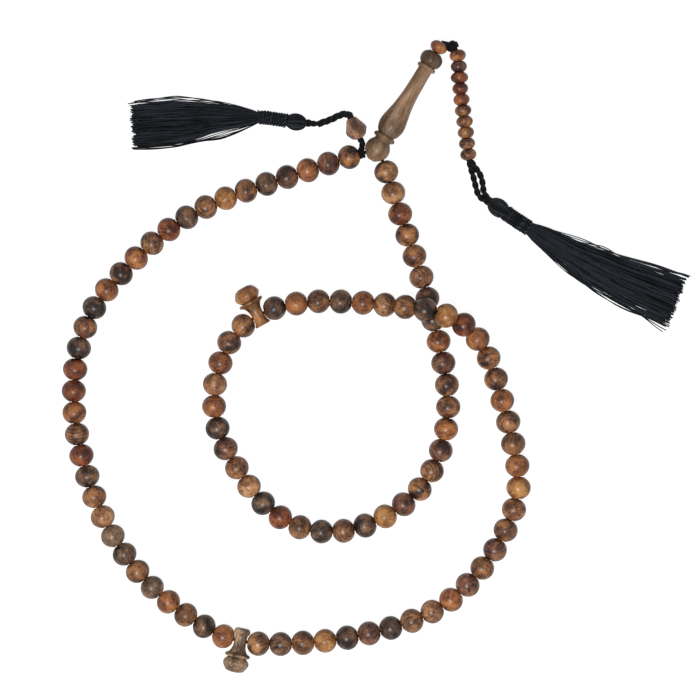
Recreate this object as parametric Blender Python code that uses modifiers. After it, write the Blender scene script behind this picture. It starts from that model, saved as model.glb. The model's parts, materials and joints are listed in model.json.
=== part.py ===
"""Misbaha: ninety-nine turned wooden beads on one cord, closed by an alif, with two tassels.

Metres, +Z up. The string lies on the plane z = 0 as on a table, in two turns seen from above,
with the alif at the upper middle pointing up and to the right. One bead in three is a free
piece with its own bore. The other beads are fused with the length of cord that carries them.
"""

import math
from bisect import bisect_right
from dataclasses import dataclass

import bmesh
import bpy
from mathutils import Matrix, Vector
from mathutils.geometry import interpolate_bezier

UP = Vector((0.0, 0.0, 1.0))

# Fits shared by all pieces
CLEARANCE = 0.0003
BORE_PLAY = 0.0005

# Loop of beads
BEADS_PER_STRAND = 33
FREE_BEAD_STEP = 3
BEAD_DIAMETER = 0.0080
BEAD_END_DIAMETER = 0.0029
BEAD_BELT = 0.0016
BEAD_PLAY = 0.00035
CORD_DIAMETER = 0.0012

# Alif, measured along its axis from the middle of its ball
ALIF_BALL_DIAMETER = 0.0086
ALIF_TIP_DIAMETER = 0.0028
ALIF_TIP_BASE_DIAMETER = 0.0054
ALIF_TIP_LENGTH = 0.0011
ALIF_STEM_LENGTH = 0.0006
ALIF_COLLAR_DIAMETER = 0.0079
ALIF_COLLAR_THICKNESS = 0.0016
ALIF_BODY_DIAMETER = 0.0092
ALIF_BODY_LENGTH = 0.0263
ALIF_FOOT_DIAMETER = 0.0058
ALIF_NECK_DIAMETER = 0.0050
ALIF_RING_DIAMETER = 0.0069
ALIF_RING_THICKNESS = 0.0013
ALIF_KNOB_DIAMETER = 0.0079
ALIF_KNOB_LENGTH = 0.0054

# Alif outlines: share of the width, share of the length
ALIF_KNOB_SHAPE = [(0.52, 1.0), (0.90, 0.74), (1.0, 0.48), (0.86, 0.20)]
ALIF_BODY_SHAPE = [
    (0.06, 0.80), (0.22, 0.55), (0.48, 0.34), (0.84, 0.20), (0.99, 0.16), (0.93, 0.10), (0.62, 0.03),
]

# Separators, measured from the cord that crosses their waist: a flared foot and a collared one
SEPARATOR_WAIST_DIAMETER = 0.0042
SEPARATOR_FOOT_DIAMETER = 0.0056
SEPARATOR_FOOT_LENGTHS = [0.0038, 0.0044]
SEPARATOR_FLANGE_DIAMETER = 0.0083
SEPARATOR_FLANGE_THICKNESS = 0.0010
SEPARATOR_KNOB_DIAMETER = 0.0085
SEPARATOR_KNOB_LENGTH = 0.0053
SEPARATOR_KNOB_SHAPE = [(0.42, 1.0), (0.74, 0.86), (0.98, 0.58), (1.0, 0.42), (0.84, 0.16), (0.62, 0.02)]
SEPARATOR_FLARE_SHAPE = [(0.55, 0.80), (0.28, 0.55), (0.10, 0.28)]
SEPARATOR_FOOT_SHAPES = [
    [(0.84, 0.66), (1.0, 0.80), (0.94, 1.0)],
    [(0.78, 0.44), (0.97, 0.58), (1.0, 0.76), (0.80, 1.0)],
]

# Spacer, knot and counters above the alif
SPACER_DIAMETER = 0.0057
SPACER_LENGTH = 0.0036
KNOT_DIAMETER = 0.0032
KNOT_SHAPE = [(-1.0, 0.4), (-0.7, 0.8), (-0.2, 1.0), (0.35, 0.95), (0.8, 0.6), (1.0, 0.3)]
COUNTERS = 10
COUNTER_DIAMETER = 0.0059
COUNTER_END_DIAMETER = 0.0028
COUNTER_PLAY = 0.0003
EYE_STRAND_DIAMETER = 0.0018
EYE_TRUNK_DIAMETER = 0.0023

# Marker bead and its cord
MARKER_DIAMETER = 0.0072
MARKER_END_DIAMETER = 0.0036
MARKER_LENGTH = 0.0074
MARKER_BELT = 0.0015
MARKER_BELT_DROP = 0.0008
MARKER_TO_ALIF = 0.0024
MARKER_THREAD = 0.0009
MARKER_CORD_DIAMETER = 0.0020
MARKER_SLIDE = 0.0020

# Tassels: the larger hangs on the counters' eye, the smaller on the marker's cord
COUNTER_TASSEL_HEAD = 0.0062
COUNTER_TASSEL_HEAD_LENGTH = 0.0074
COUNTER_TASSEL_BINDING = 0.0058
COUNTER_TASSEL_THREAD = 0.00040
COUNTER_TASSEL_TURNS = 10
COUNTER_TASSEL_PITCH = 0.00092
MARKER_TASSEL_HEAD = 0.0058
MARKER_TASSEL_HEAD_LENGTH = 0.0069
MARKER_TASSEL_BINDING = 0.0051
MARKER_TASSEL_THREAD = 0.00060
MARKER_TASSEL_TURNS = 8
MARKER_TASSEL_PITCH = 0.00115

# Facets
BEAD_SIDES = 8
TURNED_SIDES = 12
CUT_BEAD_SIDES = 8
CORD_RESOLUTION = 2
THREAD_RESOLUTION = 1
WINDING_POINTS = 10
SKIRT_FLUTES = 9
FLUTE_DEPTH = 0.05
SMOOTH_STEPS = 10
ARC_STEPS = 6
LOOP_STEPS = 8

BEAD_RADIUS = BEAD_DIAMETER / 2
CORD_RADIUS = CORD_DIAMETER / 2
BALL_RADIUS = ALIF_BALL_DIAMETER / 2
KNOT_RADIUS = KNOT_DIAMETER / 2
THREAD_RADIUS = MARKER_THREAD / 2
ALIF_HEIGHT = max(ALIF_BODY_DIAMETER, ALIF_BALL_DIAMETER, ALIF_KNOB_DIAMETER) / 2
SEPARATOR_HEIGHT = max(SEPARATOR_KNOB_DIAMETER, SEPARATOR_FLANGE_DIAMETER) / 2
CROSSING_LIFT = 1.01 * BEAD_DIAMETER

# The plan is drawn in eighths of a bead, so that the whole string grows with its beads
PLAN_UNIT = BEAD_DIAMETER / 8

# Plan positions and directions, chosen by hand
ALIF_BALL = Vector((0.5 * PLAN_UNIT, 70.3 * PLAN_UNIT, ALIF_HEIGHT))
ALIF_AXIS = Vector((0.515, 0.857, 0.0)).normalized()
ALIF_SIDE = ALIF_AXIS.cross(UP)
MARKER_WAY = Vector((-0.73, 0.68, 0.0)).normalized()
MARKER_AXIS = Vector((-0.30, 0.954, 0.0)).normalized()
MARKER_TASSEL_OFFSET = Vector((-19.9 * PLAN_UNIT, 2.2 * PLAN_UNIT, 0.0))
KNOT_OFFSET = (1.5 * PLAN_UNIT, 4.0 * PLAN_UNIT)
COUNTER_TASSEL_OFFSET = Vector((14.9 * PLAN_UNIT, -55.2 * PLAN_UNIT, 0.0))

# Cord routes in plan units, with each point's height over the beads' own as a share of the crossing's
STRAND_1 = [
    (2.8, 64.6, 0), (5.8, 55.4, 0), (10.6, 41.0, 0), (15.4, 26.9, 0), (19.3, 12.5, 0),
    (22.9, -2.4, 0), (24.7, -17.4, 0), (22.2, -32.4, 0), (15.2, -45.6, 0), (3.6, -54.9, 0),
    (-10.3, -60.0, 0), (-25.3, -59.2, 0), (-38.0, -51.3, 0), (-47.1, -39.2, 0),
    (-54.0, -25.8, 0), (-55.2, -10.6, 0), (-50.6, 3.6, 0), (-45.6, 9.9, 0),
]
STRAND_2 = [
    (-34.6, 16.1, 0), (-20.8, 18.3, 0), (-5.8, 17.9, 0), (1.9, 17.2, 0.09), (9.2, 16.4, 0.48),
    (16.6, 15.4, 0.96), (24.1, 13.3, 0.92), (30.6, 9.9, 0.42), (35.3, 4.6, 0.07),
    (38.9, -2.0, 0), (43.2, -16.0, 0), (46.9, -30.7, 0), (48.7, -46.1, 0), (43.6, -61.1, 0),
    (35.5, -73.7, 0), (24.7, -84.3, 0), (11.4, -91.1, 0), (-3.1, -95.2, 0),
    (-17.4, -97.6, 0), (-32.8, -98.7, 0), (-40.4, -98.6, 0),
]
STRAND_3 = [
    (-52.0, -96.2, 0), (-65.0, -88.7, 0), (-76.6, -79.2, 0), (-85.8, -68.1, 0),
    (-93.3, -55.3, 0), (-98.6, -41.3, 0), (-102.2, -26.6, 0), (-103.2, -12.3, 0),
    (-101.5, 2.4, 0), (-95.9, 16.8, 0), (-86.3, 28.5, 0), (-75.6, 38.9, 0), (-64.0, 47.4, 0),
    (-50.3, 53.9, 0), (-36.3, 58.7, 0), (-22.5, 63.3, 0), (-8.6, 67.7, 0),
]
SEPARATOR_PLACES = [(-40.3, 13.5), (-46.3, -97.6)]
COUNTER_DROP = [(1.45, -3.5), (2.3, -15.3), (3.8, -26.3), (5.0, -37.3), (5.5, -39.4)]
EYE_LEFT = [(5.9, -41.6), (6.8, -44.8), (7.5, -47.6), (8.4, -50.6), (10.2, -52.6)]
EYE_RIGHT = [(7.7, -41.9), (9.1, -44.0), (9.9, -46.5), (10.2, -48.8), (11.0, -51.2)]
COUNTER_TASSEL_AXIS = [(0.0, 0.0), (5.4, -3.7), (11.3, -7.5), (26.3, -16.7), (41.5, -24.2), (61.5, -32.3)]
MARKER_TWIST = [(-1.9, 4.5), (-4.4, 4.9), (-8.7, 3.1), (-12.8, 1.7)]
MARKER_TASSEL_AXIS = [(0.0, 0.0), (-6.5, 0.9), (-13.4, 1.6), (-27.0, 0.7), (-41.0, 0.1), (-56.0, -1.0)]

# Skirts: distance from the head's middle, half width and half height of each ring
COUNTER_SKIRT = [(17.0, 3.7, 2.8), (26.0, 5.2, 2.7), (42.0, 7.7, 2.4), (56.0, 9.1, 2.1), (69.4, 10.2, 1.8)]
MARKER_SKIRT = [(16.0, 3.3, 2.4), (20.0, 4.8, 2.4), (27.0, 6.7, 2.3), (41.0, 8.7, 2.0), (56.2, 8.5, 1.6)]


class Route:
    """A smooth curve through a cord's own points, read by the distance along it."""

    def __init__(self, knots, before=None, after=None):
        before = before or 2 * knots[0] - knots[1]
        after = after or 2 * knots[-1] - knots[-2]
        ring = [before, *knots, after]
        self.points = [knots[0]]
        for a, b, c, d in zip(ring, ring[1:], ring[2:], ring[3:]):
            bow = interpolate_bezier(b, b + (c - a) / 6, c - (d - b) / 6, c, SMOOTH_STEPS)
            self.points += bow[1:]
        self.reach = [0.0]
        for a, b in zip(self.points, self.points[1:]):
            self.reach.append(self.reach[-1] + (b - a).length)
        self.length = self.reach[-1]

    def at(self, distance):
        """The point at this distance, on a straight line past either end."""
        i = min(max(bisect_right(self.reach, distance), 1), len(self.points) - 1)
        start, end = self.points[i - 1], self.points[i]
        share = (distance - self.reach[i - 1]) / (self.reach[i] - self.reach[i - 1])
        return start + share * (end - start)

    def heading(self, distance):
        """The direction of travel at this distance."""
        return (self.at(distance + CLEARANCE) - self.at(distance - CLEARANCE)).normalized()

    def seat(self, distance, length):
        """The placement of a straight bead of this length, midway between the bend and its chord."""
        start, end = self.at(distance - length / 2), self.at(distance + length / 2)
        middle = ((start + end) / 2 + self.at(distance)) / 2
        return aim(middle, end - start)


def plan(points, height):
    """Plan points as vectors at one height."""
    return [Vector((x * PLAN_UNIT, y * PLAN_UNIT, height)) for x, y in points]


def strand_points(points):
    """A strand's points at the beads' own height, lifted where it passes over another."""
    heights = [BEAD_RADIUS + lift * CROSSING_LIFT for _, _, lift in points]
    return [Vector((x * PLAN_UNIT, y * PLAN_UNIT, z)) for (x, y, _), z in zip(points, heights)]


def aim(origin, axis):
    """A placement with local Z along axis and local X as near upright as it can be."""
    axis = axis.normalized()
    upright = (UP - UP.dot(axis) * axis).normalized()
    turn = Matrix((upright, axis.cross(upright), axis)).transposed()
    return Matrix.Translation(origin) @ turn.to_4x4()


def hex_colour(text):
    """An sRGB hex colour as linear RGBA."""
    channels = [int(text[i : i + 2], 16) / 255 for i in (0, 2, 4)]
    linear = [c / 12.92 if c <= 0.04045 else ((c + 0.055) / 1.055) ** 2.4 for c in channels]
    return (*linear, 1.0)


def material(name, colour, roughness):
    """A plain non-metallic finish, made once."""
    found = bpy.data.materials.get(name)
    if found:
        return found
    made = bpy.data.materials.new(name)
    made.use_nodes = True
    shader = made.node_tree.nodes["Principled BSDF"]
    shader.inputs["Base Color"].default_value = hex_colour(colour)
    shader.inputs["Roughness"].default_value = roughness
    shader.inputs["Metallic"].default_value = 0.0
    made.diffuse_color = hex_colour(colour)
    return made


def bead_wood(number):
    """The turned woods of the string, in an uneven order along it."""
    woods = [
        ("golden_wood", "A9713F"),
        ("brown_wood", "7A4F33"),
        ("dark_wood", "46352C"),
        ("red_wood", "7C3F2A"),
        ("tan_wood", "BC8A5C"),
    ]
    name, colour = woods[(number * number + number // 3) % len(woods)]
    return material(name, colour, 0.38)


def black_thread():
    return material("black_thread", "14161A", 0.75)


class Workshop:
    """Where finished pieces and their cutters are put."""

    def __init__(self):
        self.pieces = bpy.data.collections.new("misbaha")
        self.cutters = bpy.data.collections.new("cutters")
        for group in (self.pieces, self.cutters):
            bpy.context.scene.collection.children.link(group)
        self.table = bpy.data.objects.new("table_datum", None)
        self.pieces.objects.link(self.table)

    def keep(self, name, data, finish, matrix=None):
        """A finished piece in its place."""
        made = bpy.data.objects.new(name, data)
        self.pieces.objects.link(made)
        made.parent = self.table
        made.matrix_world = matrix or Matrix()
        data.materials.clear()
        data.materials.append(finish)
        return made

    def cutter(self, name, mesh, matrix):
        """A guide that a Boolean reads and that isn't a piece."""
        made = bpy.data.objects.new(name, mesh)
        self.cutters.objects.link(made)
        made.matrix_world = matrix
        made.hide_render = True
        made.display_type = "WIRE"
        return made


def turned_profile(name, outline, closed, sides):
    """A lathe outline of (radius, height) pairs, down the outer side, with a flat of the turning at +X."""
    lean = math.tan(math.pi / sides)
    mesh = bpy.data.meshes.new(name)
    count = len(outline)
    edges = [(i, (i + 1) % count) for i in range(count if closed else count - 1)]
    mesh.from_pydata([(r, r * lean, h) for r, h in outline], edges, [])
    return mesh


def turned(shop, name, profile, sides, finish, matrix):
    """A turned piece: its outline spun about local Z."""
    piece = shop.keep(name, profile, finish, matrix)
    spin = piece.modifiers.new("Turning", "SCREW")
    spin.axis = "Z"
    spin.steps = spin.render_steps = sides
    spin.use_merge_vertices = True
    spin.merge_threshold = 0.00001
    spin.use_smooth_shade = True
    return piece


def drill(shop, piece, name, start, direction, length, diameter):
    """Cuts a round hole through a piece, from a point in a direction."""
    bm = bmesh.new()
    bmesh.ops.create_cone(
        bm,
        cap_ends=True,
        segments=TURNED_SIDES,
        radius1=diameter / 2,
        radius2=diameter / 2,
        depth=length,
        matrix=Matrix.Translation((0.0, 0.0, length / 2)),
    )
    mesh = bpy.data.meshes.new(name)
    bm.to_mesh(mesh)
    bm.free()
    cut = piece.modifiers.new(name, "BOOLEAN")
    cut.operation = "DIFFERENCE"
    cut.object = shop.cutter(name, mesh, aim(start, direction))


def cord_curve(name, sections, resolution=CORD_RESOLUTION, twist="Z_UP"):
    """A cord as a swept curve through (point, radius) sections, with closed ends."""
    sides = 4 + 2 * resolution
    curve = bpy.data.curves.new(name, "CURVE")
    curve.dimensions = "3D"
    curve.twist_mode = twist
    curve.bevel_depth = CORD_RADIUS / math.cos(math.pi / sides)
    curve.bevel_resolution = resolution
    curve.use_fill_caps = True
    spline = curve.splines.new("POLY")
    spline.points.add(len(sections) - 1)
    for knot, (point, radius) in zip(spline.points, sections):
        knot.co = (*point, 1.0)
        knot.radius = radius / CORD_RADIUS
        knot.tilt = math.pi / sides
    return curve


def cord_mesh(name, sections):
    """A swept cord made a closed mesh, so that it can be joined."""
    curve = cord_curve(name, sections)
    guide = bpy.data.objects.new(name, curve)
    bpy.context.scene.collection.objects.link(guide)
    seen = guide.evaluated_get(bpy.context.evaluated_depsgraph_get())
    mesh = bpy.data.meshes.new_from_object(seen)
    bpy.data.objects.remove(guide)
    bpy.data.curves.remove(curve)
    bm = bmesh.new()
    bm.from_mesh(mesh)
    bmesh.ops.remove_doubles(bm, verts=bm.verts, dist=0.00001)
    bm.to_mesh(mesh)
    bm.free()
    return mesh


def joined_cords(shop, name, cords, finish, origin):
    """Cords that are one length on the real object, joined into one solid about its pivot."""
    meshes = [cord_mesh(f"{name}_{i}", sections) for i, sections in enumerate(cords)]
    for mesh in meshes:
        mesh.transform(Matrix.Translation(-origin))
    place = Matrix.Translation(origin)
    piece = shop.keep(name, meshes[0], finish, place)
    for i, mesh in enumerate(meshes[1:], 1):
        union = piece.modifiers.new(f"Join {i}", "BOOLEAN")
        union.operation = "UNION"
        union.object = shop.cutter(f"{name}_join_{i}", mesh, place)
    return piece


def sections_on(route, spans):
    """(point, radius) sections from (distance, radius) pairs on a route."""
    return [(route.at(distance), radius) for distance, radius in spans]


def even_spans(start, end, spacing, radius):
    """(distance, radius) pairs at an even spacing no wider than the one asked for."""
    count = max(math.ceil((end - start) / spacing), 1)
    return [(start + (end - start) * i / count, radius) for i in range(count + 1)]


def bead_outline(diameter, end_diameter, length, belt):
    """A round bead's (position along the cord, radius) rings from end to end, with a belt round its middle."""
    radius, half = diameter / 2, length / 2
    whole = half / math.sqrt(1 - (end_diameter / diameter) ** 2)
    shoulder = 0.72 * half
    falling = [
        (shoulder, radius * math.sqrt(1 - (shoulder / whole) ** 2)),
        (half, end_diameter / 2),
    ]
    middle = [(-belt / 2, radius), (belt / 2, radius)] if belt else [(0.0, radius)]
    return [(-along, r) for along, r in reversed(falling)] + middle + falling


def bored_bead_profile(name, diameter, end_diameter, length, belt, bore, sides):
    """A bead's closed lathe outline: down its outer side and up its bore."""
    rings = bead_outline(diameter, end_diameter, length, belt)
    outer = [(r, along) for along, r in reversed(rings)]
    inner = [(bore / 2, -length / 2), (bore / 2, length / 2)]
    return turned_profile(name, outer + inner, True, sides)


def is_free(number):
    """The middle bead of each three is a piece of its own."""
    return number % FREE_BEAD_STEP == 2


class Strand:
    """One third of the loop: its route, where its beads sit and where its cord ends."""

    def __init__(self, number, route, first_bead, last_bead, cord_start, cord_end):
        self.number = number
        self.route = route
        self.start = first_bead
        self.cord_start = cord_start
        self.cord_end = self.route.length - cord_end
        self.pitch = (self.route.length - first_bead - last_bead) / BEADS_PER_STRAND

    def bead(self, number):
        """The distance along the cord of a bead's middle."""
        return self.start + (number - 0.5) * self.pitch


def lay_strands():
    """The three strands, from the alif's right side round to its left."""
    first, second = plan(SEPARATOR_PLACES, SEPARATOR_HEIGHT)
    at_alif = BALL_RADIUS + CLEARANCE
    at_waist = SEPARATOR_WAIST_DIAMETER / 2 + CLEARANCE
    at_loop = at_alif + MARKER_THREAD + 3 * CLEARANCE
    meet = CLEARANCE / 2
    one, two, three = (strand_points(points) for points in (STRAND_1, STRAND_2, STRAND_3))
    right = Route([ALIF_BALL, *one, first], after=two[0])
    middle = Route([first, *two, second], before=one[-1], after=three[0])
    left = Route([second, *three, ALIF_BALL], before=two[-1])
    return [
        Strand(1, right, at_alif, at_waist, at_alif, meet),
        Strand(2, middle, at_waist, at_waist, meet, meet),
        Strand(3, left, at_waist, at_loop, meet, at_alif),
    ]


def make_strand(shop, strand, length):
    """The cord of one strand, swelling into each bead that is fused with it."""
    outline = bead_outline(BEAD_DIAMETER, BEAD_END_DIAMETER, length, 0.0)
    spans = [(strand.cord_start, CORD_RADIUS)]
    for number in range(1, BEADS_PER_STRAND + 1):
        middle = strand.bead(number)
        spans.append((middle - strand.pitch / 2, CORD_RADIUS))
        if is_free(number):
            spans.append((middle, CORD_RADIUS))
        else:
            spans += [(middle + along, radius) for along, radius in outline]
    spans.append((strand.bead(BEADS_PER_STRAND + 0.5), CORD_RADIUS))
    spans.append((strand.cord_end, CORD_RADIUS))
    name = f"strand_{strand.number}"
    finish = material(f"{name}_wood", ["8A5A38", "805036", "74492F"][strand.number - 1], 0.38)
    shop.keep(name, cord_curve(name, sections_on(strand.route, spans)), finish)


def make_free_beads(shop, strand, length, profile):
    """The free beads of one strand, each on the cord that runs through it."""
    for number in range(1, BEADS_PER_STRAND + 1):
        if is_free(number):
            place = strand.route.seat(strand.bead(number), length)
            name = f"bead_{strand.number}_{number:02d}"
            wood = bead_wood(strand.number * BEADS_PER_STRAND + number)
            turned(shop, name, profile.copy(), BEAD_SIDES, wood, place)


def arc(radius, start, end):
    """(radius, height) points of a round stretch of an outline, between two angles from the axis."""
    angles = [start + (end - start) * i / ARC_STEPS for i in range(ARC_STEPS + 1)]
    return [(radius * math.sin(a), radius * math.cos(a)) for a in angles]


def rounded_rim(radius, height, thickness):
    """The outer edge of a thin ring that stands on this height, down its side."""
    return [(radius, height + 0.7 * thickness), (radius, height + 0.3 * thickness)]


def alif_heights():
    """Heights of the alif's steps over the middle of its ball, upwards."""
    collar = math.sqrt(BALL_RADIUS**2 - (ALIF_FOOT_DIAMETER / 2) ** 2) + ALIF_STEM_LENGTH
    body = collar + ALIF_COLLAR_THICKNESS
    ring = body + ALIF_BODY_LENGTH
    knob = ring + ALIF_RING_THICKNESS
    return collar, body, ring, knob, knob + ALIF_KNOB_LENGTH


def make_alif(shop):
    """The alif: ball, collar, vase body, ring and knob, with two slanted holes and one long bore."""
    collar, body, ring, knob, top = alif_heights()
    foot, neck = ALIF_FOOT_DIAMETER / 2, ALIF_NECK_DIAMETER / 2
    belly, rim = ALIF_BODY_DIAMETER / 2, ALIF_COLLAR_DIAMETER / 2
    bead, crown = ALIF_RING_DIAMETER / 2, ALIF_KNOB_DIAMETER / 2
    bore = CORD_RADIUS + BORE_PLAY
    outline = [(0.0, -bore), (bore, -bore), (bore, top)]
    outline += [(wide * crown, knob + rise * ALIF_KNOB_LENGTH) for wide, rise in ALIF_KNOB_SHAPE]
    outline += [(neck, knob), *rounded_rim(bead, ring, ALIF_RING_THICKNESS), (neck, ring)]
    outline += [
        (neck + (belly - neck) * wide, body + rise * ALIF_BODY_LENGTH) for wide, rise in ALIF_BODY_SHAPE
    ]
    outline += [(foot, body), *rounded_rim(rim, collar, ALIF_COLLAR_THICKNESS), (foot, collar)]
    tip, base = ALIF_TIP_DIAMETER / 2, ALIF_TIP_BASE_DIAMETER / 2
    outline += arc(BALL_RADIUS, math.asin(foot / BALL_RADIUS), math.pi - math.asin(base / BALL_RADIUS))
    end = outline[-1][1] - ALIF_TIP_LENGTH
    outline += [(tip, end), (0.0, end)]
    profile = turned_profile("alif", outline, False, TURNED_SIDES)
    wood = material("alif_wood", "7D6450", 0.45)
    piece = turned(shop, "alif", profile, TURNED_SIDES, wood, aim(ALIF_BALL, ALIF_AXIS))
    for side, direction in alif_holes().items():
        drill(shop, piece, f"alif_{side}_hole", ALIF_BALL, direction, ALIF_BALL_DIAMETER, 2 * bore)


def alif_holes():
    """The directions in which the two ends of the loop leave the alif's ball."""
    right = lay_strands()[0].route.at(BALL_RADIUS) - ALIF_BALL
    left_strand = lay_strands()[2].route
    left = left_strand.at(left_strand.length - BALL_RADIUS) - ALIF_BALL
    return {"right": right.normalized(), "left": left.normalized()}


def spacer_middle():
    """The spacer's place on the alif's axis, seated on its knob."""
    return ALIF_BALL + ALIF_AXIS * (alif_heights()[-1] + CLEARANCE + SPACER_LENGTH / 2)


def knot_middle():
    """The knot, past the spacer's far end and to the side of the alif's axis, on the table."""
    along, aside = KNOT_OFFSET
    end = spacer_middle() + ALIF_AXIS * (SPACER_LENGTH / 2 + along) + ALIF_SIDE * aside
    return Vector((end.x, end.y, COUNTER_DIAMETER / 2))


def make_alif_cord(shop):
    """The loop's two cord ends, which meet in the ball, run up the alif and spacer and end in the knot."""
    holes = alif_holes()
    ends = [(ALIF_BALL + holes[side] * BALL_RADIUS, CORD_RADIUS) for side in ("left", "right")]
    fork = [ends[0], (ALIF_BALL, CORD_RADIUS), ends[1]]
    knot = knot_middle()
    out = spacer_middle() + ALIF_AXIS * (SPACER_LENGTH / 2 + CLEARANCE)
    turn = Route([out - ALIF_AXIS * SPACER_LENGTH, out, knot, 2 * knot - out])
    knot_at = sum((b - a).length for a, b in ((out - ALIF_AXIS * SPACER_LENGTH, out), (out, knot)))
    bend = [(turn.at(SPACER_LENGTH), CORD_RADIUS), (turn.at(0.6 * knot_at), CORD_RADIUS)]
    before = (knot - turn.at(0.6 * knot_at)).normalized()
    lump = [(knot + before * along * KNOT_RADIUS, wide * KNOT_RADIUS) for along, wide in KNOT_SHAPE]
    stem = [(ALIF_BALL, CORD_RADIUS), (out - ALIF_AXIS * SPACER_LENGTH, CORD_RADIUS)]
    joined_cords(shop, "alif_cord", [stem + bend + lump, fork], black_thread(), ALIF_BALL)


def make_spacer(shop):
    """The small bead between the alif's knob and the knot."""
    bore = CORD_DIAMETER + 2 * BORE_PLAY
    profile = bored_bead_profile(
        "spacer_bead", SPACER_DIAMETER, COUNTER_END_DIAMETER, SPACER_LENGTH, 0.0, bore, TURNED_SIDES
    )
    wood = material("spacer_wood", "8E5C3E", 0.4)
    turned(shop, "spacer_bead", profile, TURNED_SIDES, wood, aim(spacer_middle(), ALIF_AXIS))


def make_separator(shop, number, place, heading):
    """A turned divider lying across the cord, which runs through its waist."""
    waist, foot = SEPARATOR_WAIST_DIAMETER / 2, SEPARATOR_FOOT_DIAMETER / 2
    flange, crown = SEPARATOR_FLANGE_DIAMETER / 2, SEPARATOR_KNOB_DIAMETER / 2
    bore = CORD_DIAMETER + 2 * BORE_PLAY
    neck = BEAD_RADIUS + BORE_PLAY
    rim = neck + SEPARATOR_FLANGE_THICKNESS
    outline = [(0.0, rim + SEPARATOR_KNOB_LENGTH)]
    outline += [(wide * crown, rim + rise * SEPARATOR_KNOB_LENGTH) for wide, rise in SEPARATOR_KNOB_SHAPE]
    outline += [(0.94 * flange, rim), *rounded_rim(flange, neck, SEPARATOR_FLANGE_THICKNESS)]
    outline += [(0.93 * flange, neck)]
    outline += [(waist + (flange - waist) * wide, neck * rise) for wide, rise in SEPARATOR_FLARE_SHAPE]
    outline += [(waist, -bore / 2 - CLEARANCE)]
    length = SEPARATOR_FOOT_LENGTHS[number - 1]
    outline += [(foot * wide, -length * fall) for wide, fall in SEPARATOR_FOOT_SHAPES[number - 1]]
    outline += [(0.0, -length)]
    name = f"separator_{number}"
    profile = turned_profile(name, outline, False, TURNED_SIDES)
    wood = material(f"{name}_wood", ["9A6A3E", "86674E"][number - 1], 0.36)
    piece = turned(shop, name, profile, TURNED_SIDES, wood, aim(place, UP.cross(heading)))
    reach = SEPARATOR_FLANGE_DIAMETER
    drill(shop, piece, f"{name}_bore", place - heading * reach / 2, heading, reach, bore)


def drop_route():
    """The counters' cord from the knot to the start of the eye."""
    knot = knot_middle()
    return Route([knot, *(knot + Vector((x * PLAN_UNIT, y * PLAN_UNIT, 0.0)) for x, y in COUNTER_DROP)])


def counter_pitch(route):
    """Counters fill the cord from the knot to the eye."""
    return (route.length - KNOT_RADIUS - 2 * CLEARANCE) / COUNTERS


def counter_distance(route, number):
    """The distance along the cord of a counter's middle."""
    return KNOT_RADIUS + CLEARANCE + (number - 0.5) * counter_pitch(route)


def make_counters(shop):
    """Ten counters on the cord that comes out of the alif's top."""
    route = drop_route()
    bore = CORD_DIAMETER + 2 * BORE_PLAY
    length = counter_pitch(route) - COUNTER_PLAY
    profile = bored_bead_profile(
        "counter", COUNTER_DIAMETER, COUNTER_END_DIAMETER, length, 0.0, bore, BEAD_SIDES
    )
    for number in range(1, COUNTERS + 1):
        place = route.seat(counter_distance(route, number), length)
        turned(shop, f"counter_{number:02d}", profile.copy(), BEAD_SIDES, bead_wood(number + 2), place)


def make_counter_cord(shop):
    """The cord through the counters, and the long eye of two strands that carries the tassel."""
    route = drop_route()
    knot = knot_middle()
    head = counter_tassel().head
    strand, trunk = EYE_STRAND_DIAMETER / 2, EYE_TRUNK_DIAMETER / 2
    low = strand + CLEARANCE
    left = [knot + Vector((x * PLAN_UNIT, y * PLAN_UNIT, 0.0)) for x, y in EYE_LEFT]
    right = [knot + Vector((x * PLAN_UNIT, y * PLAN_UNIT, 0.0)) for x, y in EYE_RIGHT]
    for point in left + right:
        point.z = low
    arrive = (left[-1] + right[-1]) / 2 - head
    arrive.z = 0.0
    arrive.normalize()
    seat = head + arrive * (COUNTER_TASSEL_HEAD / 2 + CLEARANCE)
    near = seat + arrive * EYE_STRAND_DIAMETER
    counted = KNOT_RADIUS + CLEARANCE + COUNTERS * counter_pitch(route)
    spans = even_spans(KNOT_RADIUS + CLEARANCE, counted, counter_pitch(route), CORD_RADIUS)
    straight = sections_on(route, [*spans, (route.length, trunk)])
    ends = []
    for side in (left, right):
        bow = Route([route.at(route.length), *side, near])
        spans = even_spans(0.0, bow.length, 2 * EYE_STRAND_DIAMETER, strand)
        ends.append([*sections_on(bow, spans), (seat, strand)])
    cords = [straight + ends[0], ends[1]]
    joined_cords(shop, "counter_cord", cords, black_thread(), knot)


def marker_middle():
    """The marker bead, beside the alif's ball and on the table."""
    place = ALIF_BALL + MARKER_WAY * (BALL_RADIUS + MARKER_TO_ALIF + MARKER_DIAMETER / 2)
    return Vector((place.x, place.y, MARKER_DIAMETER / 2))


def make_marker_bead(shop):
    """A cut drop on the marker's doubled cord, widest below its middle."""
    end, belt = MARKER_END_DIAMETER / 2, MARKER_DIAMETER / 2
    half, level = MARKER_LENGTH / 2, MARKER_BELT / 2
    bore = marker_bore() / 2
    outline = [(end, half), (belt, level - MARKER_BELT_DROP), (belt, -level - MARKER_BELT_DROP), (end, -half)]
    outline += [(bore, -half), (bore, half)]
    profile = turned_profile("marker_bead", outline, True, CUT_BEAD_SIDES)
    wood = material("marker_wood", "7B4E37", 0.35)
    turned(shop, "marker_bead", profile, CUT_BEAD_SIDES, wood, aim(marker_middle(), MARKER_AXIS))


def marker_bore():
    """Wide enough for the two threads side by side."""
    return 2 * MARKER_THREAD + 2 * BORE_PLAY


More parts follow.
